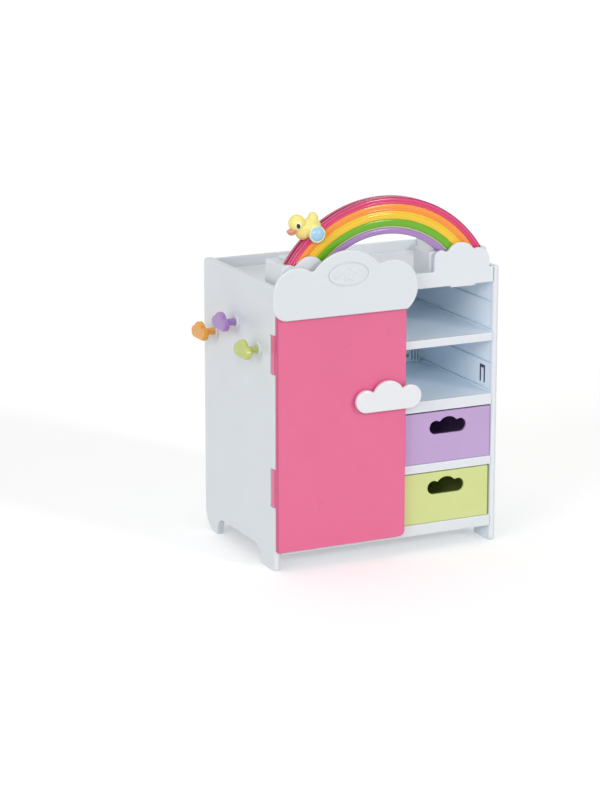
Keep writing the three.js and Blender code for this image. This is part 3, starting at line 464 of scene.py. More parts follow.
# %% Shader sums
class Value:
    """A socket. Sums with it add Math nodes."""

    def __init__(self, nodes, socket):
        self.nodes, self.socket = nodes, socket

    def _sum(self, operation, a, b):
        """A Math node on a and b."""
        return self.nodes.node("ShaderNodeMath", {"operation": operation}, {0: a, 1: b})

    def __add__(self, other):
        return self._sum("ADD", self, other)

    def __sub__(self, other):
        return self._sum("SUBTRACT", self, other)

    def __rsub__(self, other):
        return self._sum("SUBTRACT", other, self)

    def __mul__(self, other):
        return self._sum("MULTIPLY", self, other)

    __radd__ = __add__
    __rmul__ = __mul__


class Nodes:
    """A node tree, of a material or of the world."""

    def __init__(self, tree):
        self.tree = tree

    def node(self, kind, settings, sockets, out=0):
        """A node of a kind, with its settings first and then its sockets' values or links."""
        made = self.tree.nodes.new(kind)
        for name, value in settings.items():
            setattr(made, name, value)
        for key, value in sockets.items():
            if isinstance(value, Value):
                self.tree.links.new(value.socket, made.inputs[key])
            else:
                made.inputs[key].default_value = value
        return Value(self, made.outputs[out])

    def link_output(self, name, shader):
        """Sends a shader to the surface socket of the tree's output node."""
        self.tree.links.new(shader.socket, self.tree.nodes[name].inputs["Surface"])

    def looked_at(self):
        """1 on camera, glossy and transmission rays, and 0 on those that carry light."""
        seen = 0.0
        for kind in ("Camera", "Glossy", "Transmission"):
            ray = self.node("ShaderNodeLightPath", {}, {}, f"Is {kind} Ray")
            seen = self.node("ShaderNodeMath", {"operation": "MAXIMUM"}, {0: ray, 1: seen})
        return seen


print("sums that a shader takes: a + b, a - b, 1 - a and a * b")

# %% [markdown]
# ## A finish
#
# A finish is a material with one Principled shader. Patterns read the place on the object, in
# metres, so they stay put when a door or a drawer moves. A change of colour from one part of a
# moulding to another fades in past a plane, or beyond a distance from a point.

# %% Finishes
class Finish(Nodes):
    """A material, its node tree and one Principled shader."""

    def __init__(self, name, **constants):
        self.material = bpy.data.materials.new(name)
        self.material.use_nodes = True
        super().__init__(self.material.node_tree)
        self.surface = self.tree.nodes["Principled BSDF"]
        for socket, value in constants.items():
            self.surface.inputs[socket.replace("_", " ")].default_value = value
        self.place = self.node("ShaderNodeTexCoord", {}, {}, "Object")

    def noise(self, size_mm, detail=2.0, roughness=0.5, place=None):
        """Cloudy noise from 0 to 1 with lumps of about the given size."""
        wanted = {
            "Vector": place or self.place, "Scale": 1000 / size_mm, "Detail": detail,
            "Roughness": roughness,
        }
        return self.node("ShaderNodeTexNoise", {}, wanted)

    def stretched(self, scale, turn=(0, 0, 0)):
        """The place on the object times a scale along each axis, and then turned. A pattern
        on it is that much finer along that axis."""
        wanted = {"Vector": self.place, "Rotation": turn, "Scale": scale}
        return self.node("ShaderNodeMapping", {}, wanted)

    def steps(self, value, low, high):
        """0 at low to 1 at high, smoothly: t * t * (3 - 2 t)."""
        wanted = {"Value": value, 1: low, 2: high}
        return self.node("ShaderNodeMapRange", {"interpolation_type": "SMOOTHSTEP"}, wanted)

    def past(self, axis, place_mm, fade_mm):
        """0 up to a place along an axis, then up to 1 over the fade."""
        start = metres([place_mm] * 3)["XYZ".index(axis)]
        along = self.node("ShaderNodeSeparateXYZ", {}, {"Vector": self.place}, axis)
        return self.steps(along, start, start + fade_mm / 1000)

    def beyond(self, centre, near_mm, far_mm, flat=True):
        """0 up to the near distance from a point, and 1 from the far one on. Where flat, the
        distance is taken from the line that runs straight back through the point."""
        place, middle = self.place, metres(centre)
        if flat:
            operation = {"operation": "MULTIPLY"}
            place = self.node("ShaderNodeVectorMath", operation, {0: place, 1: (1, 0, 1)})
            middle = middle * (1, 0, 1)
        wanted = {0: place, 1: tuple(middle)}
        away = self.node("ShaderNodeVectorMath", {"operation": "DISTANCE"}, wanted, "Value")
        return self.steps(away, near_mm / 1000, far_mm / 1000)

    def mix(self, factor, first, second):
        """first * (1 - factor) + second * factor, for colours."""
        sockets = {0: factor, 6: first, 7: second}
        return self.node("ShaderNodeMix", {"data_type": "RGBA"}, sockets, 2)

    def bump(self, height, strength, distance_mm):
        """A normal that leans as the height rises and falls."""
        wanted = {"Height": height, "Strength": strength, "Distance": distance_mm / 1000}
        return self.node("ShaderNodeBump", {}, wanted, "Normal")

    def set(self, **links):
        """Links values to the shader's sockets of those names."""
        for socket, value in links.items():
            self.tree.links.new(value.socket, self.surface.inputs[socket.replace("_", " ")])


def linear(code):
    """A screen colour such as E87098 as the linear red, green and blue that a shader takes."""
    screen = np.array([int(code[i : i + 2], 16) for i in (0, 2, 4)]) / 255
    value = np.where(screen <= 0.04045, screen / 12.92, ((screen + 0.055) / 1.055) ** 2.4)
    return (*value, 1.0)


def shade(colour, factor):
    """A colour times a factor, up to white."""
    return (*(min(1.0, c * factor) for c in colour[:3]), 1.0)


print("middle grey in linear light:", round(linear("808080")[0], 3))

# %% [markdown]
# ## Moulded plastic
#
# The same recipe serves all the colours. A slow drift makes the colour a little lighter and
# darker, patches that hands have rubbed are shinier, hair-fine scuffs run through the gloss, and
# two grains, one like orange peel and one like dust, bend the highlights.

# %% Plastics
LUMPS = {"slow": 90, "hands": 28, "scuffs": 9, "peel": 2.2, "dust": 0.45}    # mm
PEEL, DUST, SCUFF_TURN, SCUFF_STRETCH = 0.02, 0.012, (0.3, 0.5, 0.9), (1, 14, 3)


def plastic(name, code, roughness, drift, coat=0.0, tint=None):
    """The recipe in one colour. A tint may turn the colour into another from place to place."""
    colour = linear(code)
    made = Finish(name, IOR=1.49, Coat_Weight=coat, Coat_Roughness=0.08)
    slow, hands = made.noise(LUMPS["slow"], 3), made.noise(LUMPS["hands"], 4, 0.6)
    peel, dust = made.noise(LUMPS["peel"], 2), made.noise(LUMPS["dust"], 1)
    stretch = made.stretched(SCUFF_STRETCH, SCUFF_TURN)
    scuffs = made.steps(made.noise(LUMPS["scuffs"], 4, 0.65, stretch), 0.66, 0.74)
    tone = made.steps(slow * 0.7 + hands * 0.3, 0.3, 0.7)
    base = made.mix(tone, shade(colour, 1 - drift), shade(colour, 1 + drift))
    if tint:
        base = tint(made, base)
    made.set(
        Base_Color=made.mix(scuffs * 0.05, base, shade(colour, 1.2)),
        Roughness=(hands - 0.5) * 0.1 + (dust - 0.5) * 0.05 + scuffs * 0.08 + roughness,
        Normal=made.bump(peel * PEEL + dust * DUST, 0.6, 1.0),
    )
    return made.material


WHITE = plastic("white_plastic", "DEE3E7", 0.34, 0.012)
WHITE_GLOSS = plastic("white_gloss", "E7E9EC", 0.2, 0.012, 0.3)
print("made", WHITE.name, "and", WHITE_GLOSS.name)

# %% [markdown]
# ## Two plastics with painted light and shade
#
# The boards and the right side are one white moulding each. The faces inside the shelves see only
# white walls, and that light is painted into their colour: a little bluer and brighter than the
# lips and the outside. The door's pink has painted shade, deeper down the side of its plate and in
# the crevice behind its knuckles. Both are tints by place, so no second material is needed on one
# moulding.

# %% Plastics with painted light and shade
def painted_shelf_light_tint(made, base):
    """Painted light: bluer and brighter on the sheltered faces of the shelves than on lips and
    outside.
    """
    shelf_light_mask = made.past("Y", 5, 4)
    within, below = 1 - made.past("X", 350, 4), 1 - made.past("Z", 386, 3)
    return made.mix(shelf_light_mask * within * below, linear("E1E6EB"), base)


def door_painted_shade_tint(made, base):
    """Painted shade down the side of the door's plate, and darker in the crevice behind the
    knuckles.
    """
    side = (1 - made.past("X", 1.9, 0.4)) * (1 - made.past("Y", 0.8, 0.4))
    # painted shade: deeper pink on the left side of the plate, darker still in the crevice
    with_side_shade = made.mix(side, base, linear("CC4E7E"))
    return made.mix(made.past("Y", 11.3, 0.5), with_side_shade, linear("8E3A5C"))


DOOR_PINK = plastic("pink_plastic", "E46A93", 0.3, 0.012, 0.1, door_painted_shade_tint)
# the board colour is painted bluer and brighter for the light inside the shelves; its tint greys
# the lips and outside
BOARD = plastic("board_plastic", "ECF5FC", 0.3, 0.012, tint=painted_shelf_light_tint)
print("made", DOOR_PINK.name, "and", BOARD.name)

# %% [markdown]
# ## Side panels
#
# Each side is one thick panel that stands on two feet with an arch between them. The front edge is
# a full round, the other edges are just broken, and the lower rear corner sweeps forward in a wide
# curve. The left one has two notches in its front edge for the door's hinge knuckles.

# %% Side panels
DEPTH, HEIGHT, SIDE = 243.0, 410.0, 10.0
NOTCHES = ((93.5, 150.0), (286.0, 342.5))    # bottom and top of each
NOTCH_REAR, NOTCH_ROUND = 15.8, 2.4
KNOBS = {"orange": (201.0, 307.9), "purple": (127.1, 337.0), "green": (52.0, 312.8)}
STEM_HOLE = 3.7
FRONT_FOOT_END, REAR_FOOT_START, REAR_FOOT_END = 47.0, 201.0, 210.0
ARCH_TOP, ARCH_RUN, ARCH_AIM = 26.0, 21.0, (7.4, 14.3)    # the aim is along, up
TOE, HEEL, REAR_CORNER, FRONT_CORNER = 5.0, 33.0, 10.0, 5.2
ROUND_DEPTHS, ROUNDS = (0, 1.5, 5, 12, 230, 241), (4.9, 4.7, 2.2, 1.1, 1.1, 1.9)


def bezier(points, count=12):
    """p0 (1-t)^3 + 3 p1 t (1-t)^2 + 3 p2 t^2 (1-t) + p3 t^3."""
    t = np.linspace(0, 1, count)[:, None]
    p0, p1, p2, p3 = (np.array(p, float) for p in points)
    return p0 * (1 - t) ** 3 + 3 * p1 * t * (1 - t) ** 2 + 3 * p2 * t**2 * (1 - t) + p3 * t**3


def side_outline(notches):
    """(depth, height) round a side panel, the radius of its edge at each point, and the way in
    from there, which is straight back at the edges of a notch."""
    aim = np.array([(0, 0), (0, ARCH_AIM[1]), (ARCH_AIM[0], ARCH_TOP), (ARCH_RUN, ARCH_TOP)])
    front_arch = bezier(aim + (FRONT_FOOT_END, 0))
    rear_arch = bezier(aim[::-1] * (-1, 1) + (REAR_FOOT_START, 0))
    foot = [(0, 0), (FRONT_FOOT_END, 0), (FRONT_FOOT_END, HEIGHT), (0, HEIGHT)]
    lower = rounded(foot, (TOE, 0, 0, 0))[:-2]    # without the foot's two upper corners
    cuts = [[(0, top), (NOTCH_REAR, top), (NOTCH_REAR, bottom), (0, bottom)]
            for bottom, top in notches[::-1]]
    outline = without_doubles(np.concatenate([
        lower, front_arch[1:], rear_arch[:-1], [(REAR_FOOT_START, 0)],
        arc(REAR_FOOT_END, HEEL, HEEL, -np.pi / 2, 0),
        arc(DEPTH - REAR_CORNER, HEIGHT - REAR_CORNER, REAR_CORNER, 0, np.pi / 2),
        arc(FRONT_CORNER, HEIGHT - FRONT_CORNER, FRONT_CORNER, np.pi / 2, np.pi), *cuts,
    ]))
    depth = outline[:, 0]
    at_notch = np.isin(outline[:, 1], [z for notch in notches for z in notch])
    radius = np.interp(depth, ROUND_DEPTHS, ROUNDS)
    radius = np.where(at_notch & (depth > 1), NOTCH_ROUND, radius)
    way = inset(outline, 1.0) - outline
    way[at_notch] = (1, 0)
    return outline, radius, way


def side_panel(left, notches, holes=(), pockets=()):
    """A side panel whose left face lies at x = left."""
    outline, radius, way = side_outline(notches)
    return panel("right", outline, left, left + SIDE, (radius, radius), holes, pockets, way)


stem_holes = [(circle(y, z, STEM_HOLE, 24), 0.3) for y, z in KNOBS.values()]
left_body = side_panel(0, NOTCHES, stem_holes)
piece("left_side", ["left_side_panel"], [left_body], WHITE)

# %% [markdown]
# The right side also carries what the open shelves need. Each one has a groove high on its wall and
# a fine bead with a groove below it just above its floor. In the lower one, a deep slot runs round
# a springy tongue that a loose part clips on, and a dark sheet in it is painted shade for its
# depth.

# %% Right side
RIGHT_FACE = 346.0
SLOT_Y, TONGUE_Y = (21, 38), (26.4, 32.6)    # front and rear of each
SLOT_LOW, TONGUE_TOP, SLOT_TOP = 233.5, 254.6, 259.5
clip = rounded([
    (SLOT_Y[0], SLOT_LOW), (TONGUE_Y[0], SLOT_LOW), (TONGUE_Y[0], TONGUE_TOP),
    (TONGUE_Y[1], TONGUE_TOP), (TONGUE_Y[1], SLOT_LOW), (SLOT_Y[1], SLOT_LOW),
    (SLOT_Y[1], SLOT_TOP), (SLOT_Y[0], SLOT_TOP),
], 0.5)
GROOVES = [    # height, corner, depth, edge, and where each one starts
    (3.2, 0.8, 4.5, 0.4, (355.5, 265.5)),
    (2.2, 0.6, 3.0, 0.3, (315.9, 225.9)),
]
grooves = [(rectangle(6, z, 234, z + height, corner), depth, edge, "back")
           for height, corner, depth, edge, starts in GROOVES for z in starts]
bead_plan = rectangle(345.0, 6, 347, 234.5, 0.6)
beads = [panel("top", bead_plan, z, z + 2.0, (0.6, 0.6)) for z in (318.6, 228.6)]
right_body = side_panel(RIGHT_FACE, (), (), [(clip, 8.0, 0.4, "back"), *grooves])
piece("right_side", ["right_side_panel"], [right_body, *beads], BOARD)

# %% Painted shade in the slot
# a dark sheet that fills the slot, painted shade for the slot's depth
SLOT_SHADE = plastic("slot_liner", "4A4460", 0.5, 0.03)
slot_shade_body = panel("right", inset(clip, 0.1), RIGHT_FACE + 0.8, RIGHT_FACE + 7.9, (0.3, 0.0))
piece("clip_liner", [], [slot_shade_body], SLOT_SHADE, "cabinet")

# %% [markdown]
# ## Back panel
#
# The back is a flat sheet between the sides. A screw block stands in one corner of the lower shelf,
# with its screw hole and three slots, which the mould needs to keep so thick a lump from sinking.

# %% Back panel
WALL_LEFT, WALL_RIGHT, BACK_REAR, BACK_FRONT = 10.3, 345.7, 241, 235
BACK_LOW, BACK_HIGH, BLOCK_LOW, BLOCK_HIGH, BLOCK_FRONT = 23.6, 407, 223.3, 244.3, 217
back_outline = rectangle(WALL_LEFT, BACK_LOW, WALL_RIGHT, BACK_HIGH, 2)
back_body = panel("front", back_outline, BACK_REAR, BACK_FRONT, (0.8, 0.8))
slots = [(rectangle(x, 225.5, x + 2.6, 242, 0.5), 12.0, 0.3, "front")
         for x in (329.0, 334.2, 339.4)]
block_outline = rectangle(316, BLOCK_LOW, 345.0, BLOCK_HIGH, 0.8)
block_hole = (circle(322.5, 233.8, 3.2, 24), 14.0, 0.3, "front")
block = panel("front", block_outline, BACK_FRONT + 1, BLOCK_FRONT, (0.0, 0.8), (),
              [block_hole, *slots])
piece("back", ["back_panel"], [back_body, block], BOARD)

# %% [markdown]
# ## Boards
#
# A board is a thin floor with a deeper lip in front, which stiffens it and makes it look thick. It
# is drawn as its section, and that section is carried from side to side. An upright wall parts the
# door's compartment from the shelves.

# %% Boards
BOARD_THICK, LIP, BOARD_REAR = 4.5, 8.0, 234.7


def board(left, right, top, lip, rear_lip=0.0):
    """The section (depth, height) of a board with lips, carried from left to right."""
    under = top - BOARD_THICK
    corners = [(0, top - lip), (LIP, top - lip), (LIP, under)]
    if rear_lip:
        inner, low = BOARD_REAR - LIP, top - rear_lip
        corners += [(inner, under), (inner, low), (BOARD_REAR, low)]
    else:
        corners += [(BOARD_REAR, under)]
    corners += [(BOARD_REAR, top), (0, top)]
    radii = [1.2, 0.8, 0.8] + [0.5] * (len(corners) - 4) + [1.4]
    return panel("right", rounded(corners, radii), left, right, (0.2, 0.2))


BASE_TOP, BASE_LIP, SHELF_LEFT = 40, 16.4, 204.3
SHELVES = {    # top, lip
    "drawer_shelf": (129.52, 12.8), "lower_shelf": (223.0, 16.2), "upper_shelf": (313.0, 12.0),
}
base = board(WALL_LEFT, WALL_RIGHT, BASE_TOP, BASE_LIP, BASE_LIP)
piece("base", ["base_board"], [base], WHITE)
for name, (top, lip) in SHELVES.items():
    shelf = board(SHELF_LEFT, WALL_RIGHT, top, lip)
    piece(name + "_board", [name], [shelf], BOARD)

# %% Upright
UPRIGHT_LEFT, UPRIGHT_RIGHT, UPRIGHT_REAR, UPRIGHT_TOP = 196, 204, 226.4, 387.2
upright_plan = rectangle(UPRIGHT_LEFT, 0, UPRIGHT_RIGHT, UPRIGHT_REAR, 1.6)
upright = panel("top", upright_plan, BASE_TOP + 0.3, UPRIGHT_TOP, (0.2, 0.2))
piece("upright", ["divider_panel"], [upright], BOARD)

# %% [markdown]
# ## Roof tray and its front
#
# The roof is a tray with a rail along its front, and a small cloud stands on each end of the rail.
# Rail and clouds look like one moulding, so one outline goes round all of them: along the bottom
# with its two lugs, up the right end, over the right cloud, along the rail and over the left cloud.

# %% Roof tray
SMALL_PUFFS = [(0.124, 0.214, 0.124), (0.48, 0.18, 0.264), (0.793, 0.122, 0.207)]
SMALL_WIDTH, SMALL_LEFTS, SMALL_BOTTOM, SMALL_FILLET = 88.7, (12.4, 250.3), 410.0, 2.0
SMALL_VALLEY, LUG_LOW, RAIL_LOW, RAIL_HIGH = 5.0, 385.1, 387.5, 409.7
LUG = ((25.0, RAIL_LOW), (27.0, LUG_LOW), (64.5, LUG_LOW), (66.5, RAIL_LOW))


def small_cloud(left):
    """Up from the rail on the right, over the puffs, and down to the rail on the left."""
    puffs, right = puffs_at(SMALL_PUFFS, SMALL_WIDTH, left, SMALL_BOTTOM), left + SMALL_WIDTH
    fillet, height = SMALL_FILLET, RAIL_HIGH + SMALL_FILLET
    return np.concatenate([
        arc(right + fillet, height, fillet, -np.pi / 2, -np.pi),
        over_puffs(puffs, SMALL_VALLEY, 0.0, np.pi),
        arc(left - fillet, height, fillet, 0, -np.pi / 2),
    ])


def lug(left):
    """A flat tongue with leaning ends, that hangs below the rail under a cloud."""
    return [(left + along, height) for along, height in LUG]


front_outline = without_doubles(np.concatenate([
    [(WALL_LEFT, RAIL_LOW)], *[lug(left) for left in SMALL_LEFTS],
    [(WALL_RIGHT, RAIL_LOW), (WALL_RIGHT, RAIL_HIGH)],
    *[small_cloud(left) for left in SMALL_LEFTS[::-1]], [(WALL_LEFT, RAIL_HIGH)],
]))
tray_front = panel("front", front_outline, 5.0, 0.0, (0.6, 1.2))
TRAY_UNDER, TRAY_TOP, TRAY_RIM, REAR_LOW, TRAY_FRONT = 387.8, 392, 409.4, 380, 1
tray_section = rounded([
    (TRAY_FRONT, TRAY_UNDER), (BOARD_REAR - LIP, TRAY_UNDER), (BOARD_REAR - LIP, REAR_LOW),
    (BOARD_REAR, REAR_LOW), (BOARD_REAR, TRAY_TOP), (LIP, TRAY_TOP), (LIP, TRAY_RIM),
    (TRAY_FRONT, TRAY_RIM),
], (0.4, 0.5, 0.5, 0.5, 0.8, 1.0, 1.2, 0.4))
tray = panel("right", tray_section, WALL_LEFT, WALL_RIGHT, (0.2, 0.2))
ROOF_NODES = ["top_tray", "left_foot_cloud", "right_foot_cloud"]
piece("roof_tray", ROOF_NODES, [tray, tray_front], BOARD)

# %% [markdown]
# ## Door
#
# The door is a pink plate with softly rounded edges. Its back has six shallow pockets between
# ribs, which keep the moulding light, and four sunk seats for the screws. The two knuckles reach
# back into the notches of the left side, round their pins, and a groove parts them from the plate.

# %% Door
HANDLE = dict(width=103.0, left=118.7, bottom=221.0)
CLOUD = dict(width=224.7, left=-8.5, bottom=364.8)
HANDLE_SCREWS, CLOUD_SCREWS = (0.28, 0.66), (0.27, 0.71)    # in shares of the width
ROWS, COLUMNS = ((36.2, 122.35), (124.85, 218), (262, 348)), ((17, 104.75), (107.25, 195))
DOOR_FACE, DOOR_BACK = -8.5, -0.5
KNUCKLE_GAP = 0.5    # between a knuckle and each end of its notch
screws = [(cloud_at["left"] + share * cloud_at["width"], cloud_at["bottom"] + rise)
          for cloud_at, shares, rise in ((HANDLE, HANDLE_SCREWS, 18), (CLOUD, CLOUD_SCREWS, 9))
          for share in shares]
pockets = [(rectangle(x0, z0, x1, z1, 3), 5.0, 0.5, "back")
           for z0, z1 in ROWS for x0, x1 in COLUMNS]
pockets += [(circle(x, z, 3.3, 24), 2.2, 0.3, "back") for x, z in screws]
door_outline = rectangle(0.6, 29.2, 202, 382, (2.4, 9, 2.4, 2.4))
door_body = panel("front", door_outline, DOOR_BACK, DOOR_FACE, (1.2, 1.6), (), pockets)
knuckle_plan = rounded(
    [(1.8, -4.5), (10, -4.5), (10, 12.4), (0.02, 12.4), (0.02, 1.6), (1.8, 0.9)],
    (0, 0.5, 3, 1.6, 0.6, 0.3),
)
knuckles = [panel("top", knuckle_plan, low + KNUCKLE_GAP, high - KNUCKLE_GAP, (0.6, 0.6))
            for low, high in NOTCHES]
piece("door", ["door_panel"], [door_body, *knuckles], DOOR_PINK)

# %% [markdown]
# ## Handle and front cloud
#
# Both clouds are screwed to the door's face. Each is a plate on a smaller foot, so that its edge
# stands off the door and throws a dark line on it. The large cloud hides the door's top edge. Its
# badge is an oval plate in a hollow of the same shape, so that a ring shows round it, and a star
# stands on it between two small ones.

# %% Handle
STAND_OFF = -8.8    # a foot's rear face, 0.3 mm in front of the door
HANDLE_BACK, HANDLE_FACE, CLOUD_BACK, CLOUD_FACE = -12.6, -19.3, -11.9, -15.8


def standing_cloud(outline, foot_inset, middle, front, rounds, pockets=()):
    """A cloud's plate from middle to front, and its foot, drawn in, from the door to the plate."""
    foot = panel("front", inset(outline, foot_inset), STAND_OFF, middle - 0.7)
    return [panel("front", outline, middle, front, rounds, (), pockets), foot]


HANDLE_PUFFS = [(0.159, 0.159, 0.159), (0.499, 0.179, 0.243), (0.833, 0.167, 0.167)]
handle_outline = cloud(HANDLE_PUFFS, **HANDLE, valley=2.0)
handle_bodies = standing_cloud(handle_outline, 5.0, HANDLE_BACK, HANDLE_FACE, (1.2, 2.0))
piece("handle", ["door_handle_cloud"], handle_bodies, WHITE_GLOSS)

# %% Front cloud and its badge
CLOUD_PUFFS = [(0.164, 0.164, 0.164), (0.5105, 0.1237, 0.287), (0.819, 0.1433, 0.181)]
BADGE, BADGE_HALF, MIDDLE_HALF, BADGE_DEPTH = (106.2, 422.8), (32.0, 17.5), (29.4, 15.0), 1.8
STARS = ((-18.4, 6.0), (0, 11.5), (18.4, 6.0))    # place beside the middle, reach
STAR_DROP, STAR_WAIST, STAR_BACK, STAR_FACE = 0.4, 0.48, -14.8, -16.7
MIDDLE_BACK, MIDDLE_FACE = -13.8, -15.6


def star(x, z, reach):
    """Ten points whose distances from the centre alternate between the reach and the waist's
    share of it."""
    turn = np.pi / 2 + np.arange(10) * np.pi / 5
    out = np.where(np.arange(10) % 2 == 0, reach, STAR_WAIST * reach)
    points = np.stack([x + out * np.cos(turn), z + out * np.sin(turn)], axis=1)
    return panel("front", rounded(points, 0.05 * reach), STAR_BACK, STAR_FACE, (0.0, 0.3))


round_one = circle(0, 0, 1, 96)
hollow = (round_one * BADGE_HALF + BADGE, BADGE_DEPTH, 0.3, "front")
cloud_outline = cloud(CLOUD_PUFFS, **CLOUD, valley=6.0, heel=22.0)
cloud_bodies = standing_cloud(cloud_outline, 9.0, CLOUD_BACK, CLOUD_FACE, (0.8, 2.1), [hollow])
oval = round_one * MIDDLE_HALF + BADGE
middle = panel("front", oval, MIDDLE_BACK, MIDDLE_FACE, (0.0, 0.4))
stars = [star(BADGE[0] + off, BADGE[1] - STAR_DROP, reach) for off, reach in STARS]
piece("cloud", ["front_cloud"], [*cloud_bodies, middle, *stars], WHITE)

# %% [markdown]
# ## Drawers
#
# A drawer's front is a plate with a cloud-shaped finger hole, and its bin is a wall bent round
# three sides on a thin floor. The bin is lower than the front, so it clears the shelf above.

# %% Drawers
PURPLE = plastic("purple_plastic", "BEA2D0", 0.36, 0.02)
GREEN = plastic("green_plastic", "D1DA90", 0.36, 0.02)
DRAWER_WIDTH, DRAWER_HEIGHT, FRONT_THICK = 138.0, 74.8, 4
DRAWER_FRONT, DRAWER_REAR, BIN_WALL, BIN_FLOOR = 1.5, 229.7, 2.6, 2.6
BIN_INSET, BIN_DROP = 1.3, 6    # from the front's ends and from its top
CUTOUT_PUFFS = [(0.168, 0.168, 0.168), (0.513, 0.111, 0.303), (0.833, 0.167, 0.167)]
CUTOUT_WIDTH, CUTOUT_RISE = 59.4, 41.7


def drawer(name, middle, bottom, finish):
    """A front with its cut-out, a bin wall round three sides, and a floor, all in one piece."""
    left, right = middle - DRAWER_WIDTH / 2, middle + DRAWER_WIDTH / 2
    hole = cloud(CUTOUT_PUFFS, CUTOUT_WIDTH, middle - CUTOUT_WIDTH / 2, bottom + CUTOUT_RISE,
                 valley=1.5)
    face = rectangle(left, bottom, right, bottom + DRAWER_HEIGHT, 1.6)
    behind = DRAWER_FRONT + FRONT_THICK
    front = panel("front", face, behind, DRAWER_FRONT, (0.4, 0.9), [(hole, 0.7)])
    x0, x1, y0, y1 = left + BIN_INSET, right - BIN_INSET, DRAWER_FRONT + 3, DRAWER_REAR
    in0, in1, in_y = x0 + BIN_WALL, x1 - BIN_WALL, y1 - BIN_WALL
    around = rounded(
        [(x0, y0), (in0, y0), (in0, in_y), (in1, in_y), (in1, y0), (x1, y0), (x1, y1), (x0, y1)],
        (0, 0, 1.5, 1.5, 0, 0, 3, 3),
    )
    bin_top = bottom + DRAWER_HEIGHT - BIN_DROP
    bin_wall = panel("top", around, bottom + 0.5, bin_top, (0.0, 0.8))
    floor_plan = rectangle(x0 + 0.2, y0, x1 - 0.2, y1 - 0.2, 2.6)
    floor = panel("top", floor_plan, bottom, bottom + BIN_FLOOR, (0.6, 0.2))
    piece(name + "_box", [name], [front, bin_wall, floor], finish)


drawer("purple_drawer", 275.6, 129.8, PURPLE)
drawer("green_drawer", 273.4, 40.3, GREEN)

# %% [markdown]
# ## Clothes rail
#
# The rail is a plain gloss tube across the door's compartment, long enough for three hangers. A
# lathe shape makes it, and each end sits in a thick ring on the wall.

# %% Rail
RAIL_Y, RAIL_Z, RAIL_RADIUS = 121.0, 345.0, 6
SOCKETS = {"left": (10.3, 17.3), "right": (188.7, 195.7)}
rail_profile = [(5.4, 10.6), (RAIL_RADIUS, 11.2), (RAIL_RADIUS, 194.8), (5.4, 195.4)]
rail = turned("x", (0, RAIL_Y, RAIL_Z), rail_profile, 48)
piece("rail", ["clothes_rail"], [rail], WHITE_GLOSS)
for side, (low, high) in SOCKETS.items():
    ring, bore = (circle(RAIL_Y, RAIL_Z, radius, 48) for radius in (10, RAIL_RADIUS + 0.3))
    socket = panel("right", ring, low, high, (0.8, 0.8), [(bore, 0.5)])
    piece(f"{side}_socket", [f"{side}_rail_socket"], [socket], WHITE)

# %% [markdown]
# ## Hangers
#
# A doll's hanger is cut from one flat sheet: up the neck, round the hook and back, then along both
# arms, whose tips are half circles. It is drawn as that outline, made of arcs, with a round edge.

# %% Hangers
HOOK_Z, HOOK_IN, HOOK_OUT = 343.3, 8.0, 12.4
HOOK_START, HOOK_END = -1.205, 1.5 * np.pi - 1.24    # radians
ARM_Z, ARM_IN, ARM_OUT = 121.57, 184.33, 192.33
TIP, ARM_REACH = 4.0, math.asin(92 / 188.33)
NECK_REAR, NECK_FRONT = (RAIL_Y + 4.4, 313.8), (RAIL_Y, 313.85)    # the foot of each side
REAR_TURN, FRONT_TURN = 0.05, 0.03    # radians, from the top of the arms to each foot
HANGERS = {"pink": (58.5, "D9668C"), "green": (101.1, "CBDC83"), "lilac": (143.8, "B69CCB")}


def hanger_outline():
    """(depth, height) round a hanger. A tip's centre lies halfway between its two arcs, at
    centre + mean radius * (cos a, sin a)."""
    up, bar = np.pi / 2, ARM_IN + TIP
    hook_bar = (HOOK_IN + HOOK_OUT) / 2
    hook_tip = (RAIL_Y + hook_bar * math.cos(HOOK_END), HOOK_Z + hook_bar * math.sin(HOOK_END))
    out, rise = bar * math.sin(ARM_REACH), bar * math.cos(ARM_REACH)
    left, right = up + ARM_REACH, up - ARM_REACH
    parts = [
        arc(RAIL_Y, ARM_Z, ARM_OUT, right, up - REAR_TURN), [NECK_REAR],
        arc(RAIL_Y, HOOK_Z, HOOK_OUT, HOOK_START, HOOK_END),
        arc(*hook_tip, (HOOK_OUT - HOOK_IN) / 2, HOOK_END, HOOK_END + np.pi)[1:-1],
        arc(RAIL_Y, HOOK_Z, HOOK_IN, HOOK_END, -up), [NECK_FRONT],
        arc(RAIL_Y, ARM_Z, ARM_OUT, up + FRONT_TURN, left),
        arc(RAIL_Y - out, ARM_Z + rise, TIP, left, left + np.pi)[1:-1],
        arc(RAIL_Y, ARM_Z, ARM_IN, left, right),
        arc(RAIL_Y + out, ARM_Z + rise, TIP, right - np.pi, right)[1:-1],
    ]
    return without_doubles(np.concatenate(parts))


for name, (x, code) in HANGERS.items():
    finish = plastic(f"{name}_hanger_plastic", code, 0.3, 0.03)
    body = panel("right", hanger_outline(), x - 2, x + 2, (1.1, 1.1))
    piece(f"{name}_hanger_bar", [f"{name}_hanger"], [body], finish)

# %% [markdown]
# ## Pods, cover and switch
#
# The rainbow stands on two boxes in the roof tray. The left one has a battery cover with a screw
# on top and a slide switch behind. Each is a front outline carried back, and its foot sinks into
# the tray's floor, so that no dark gap shows under its rounded edges.

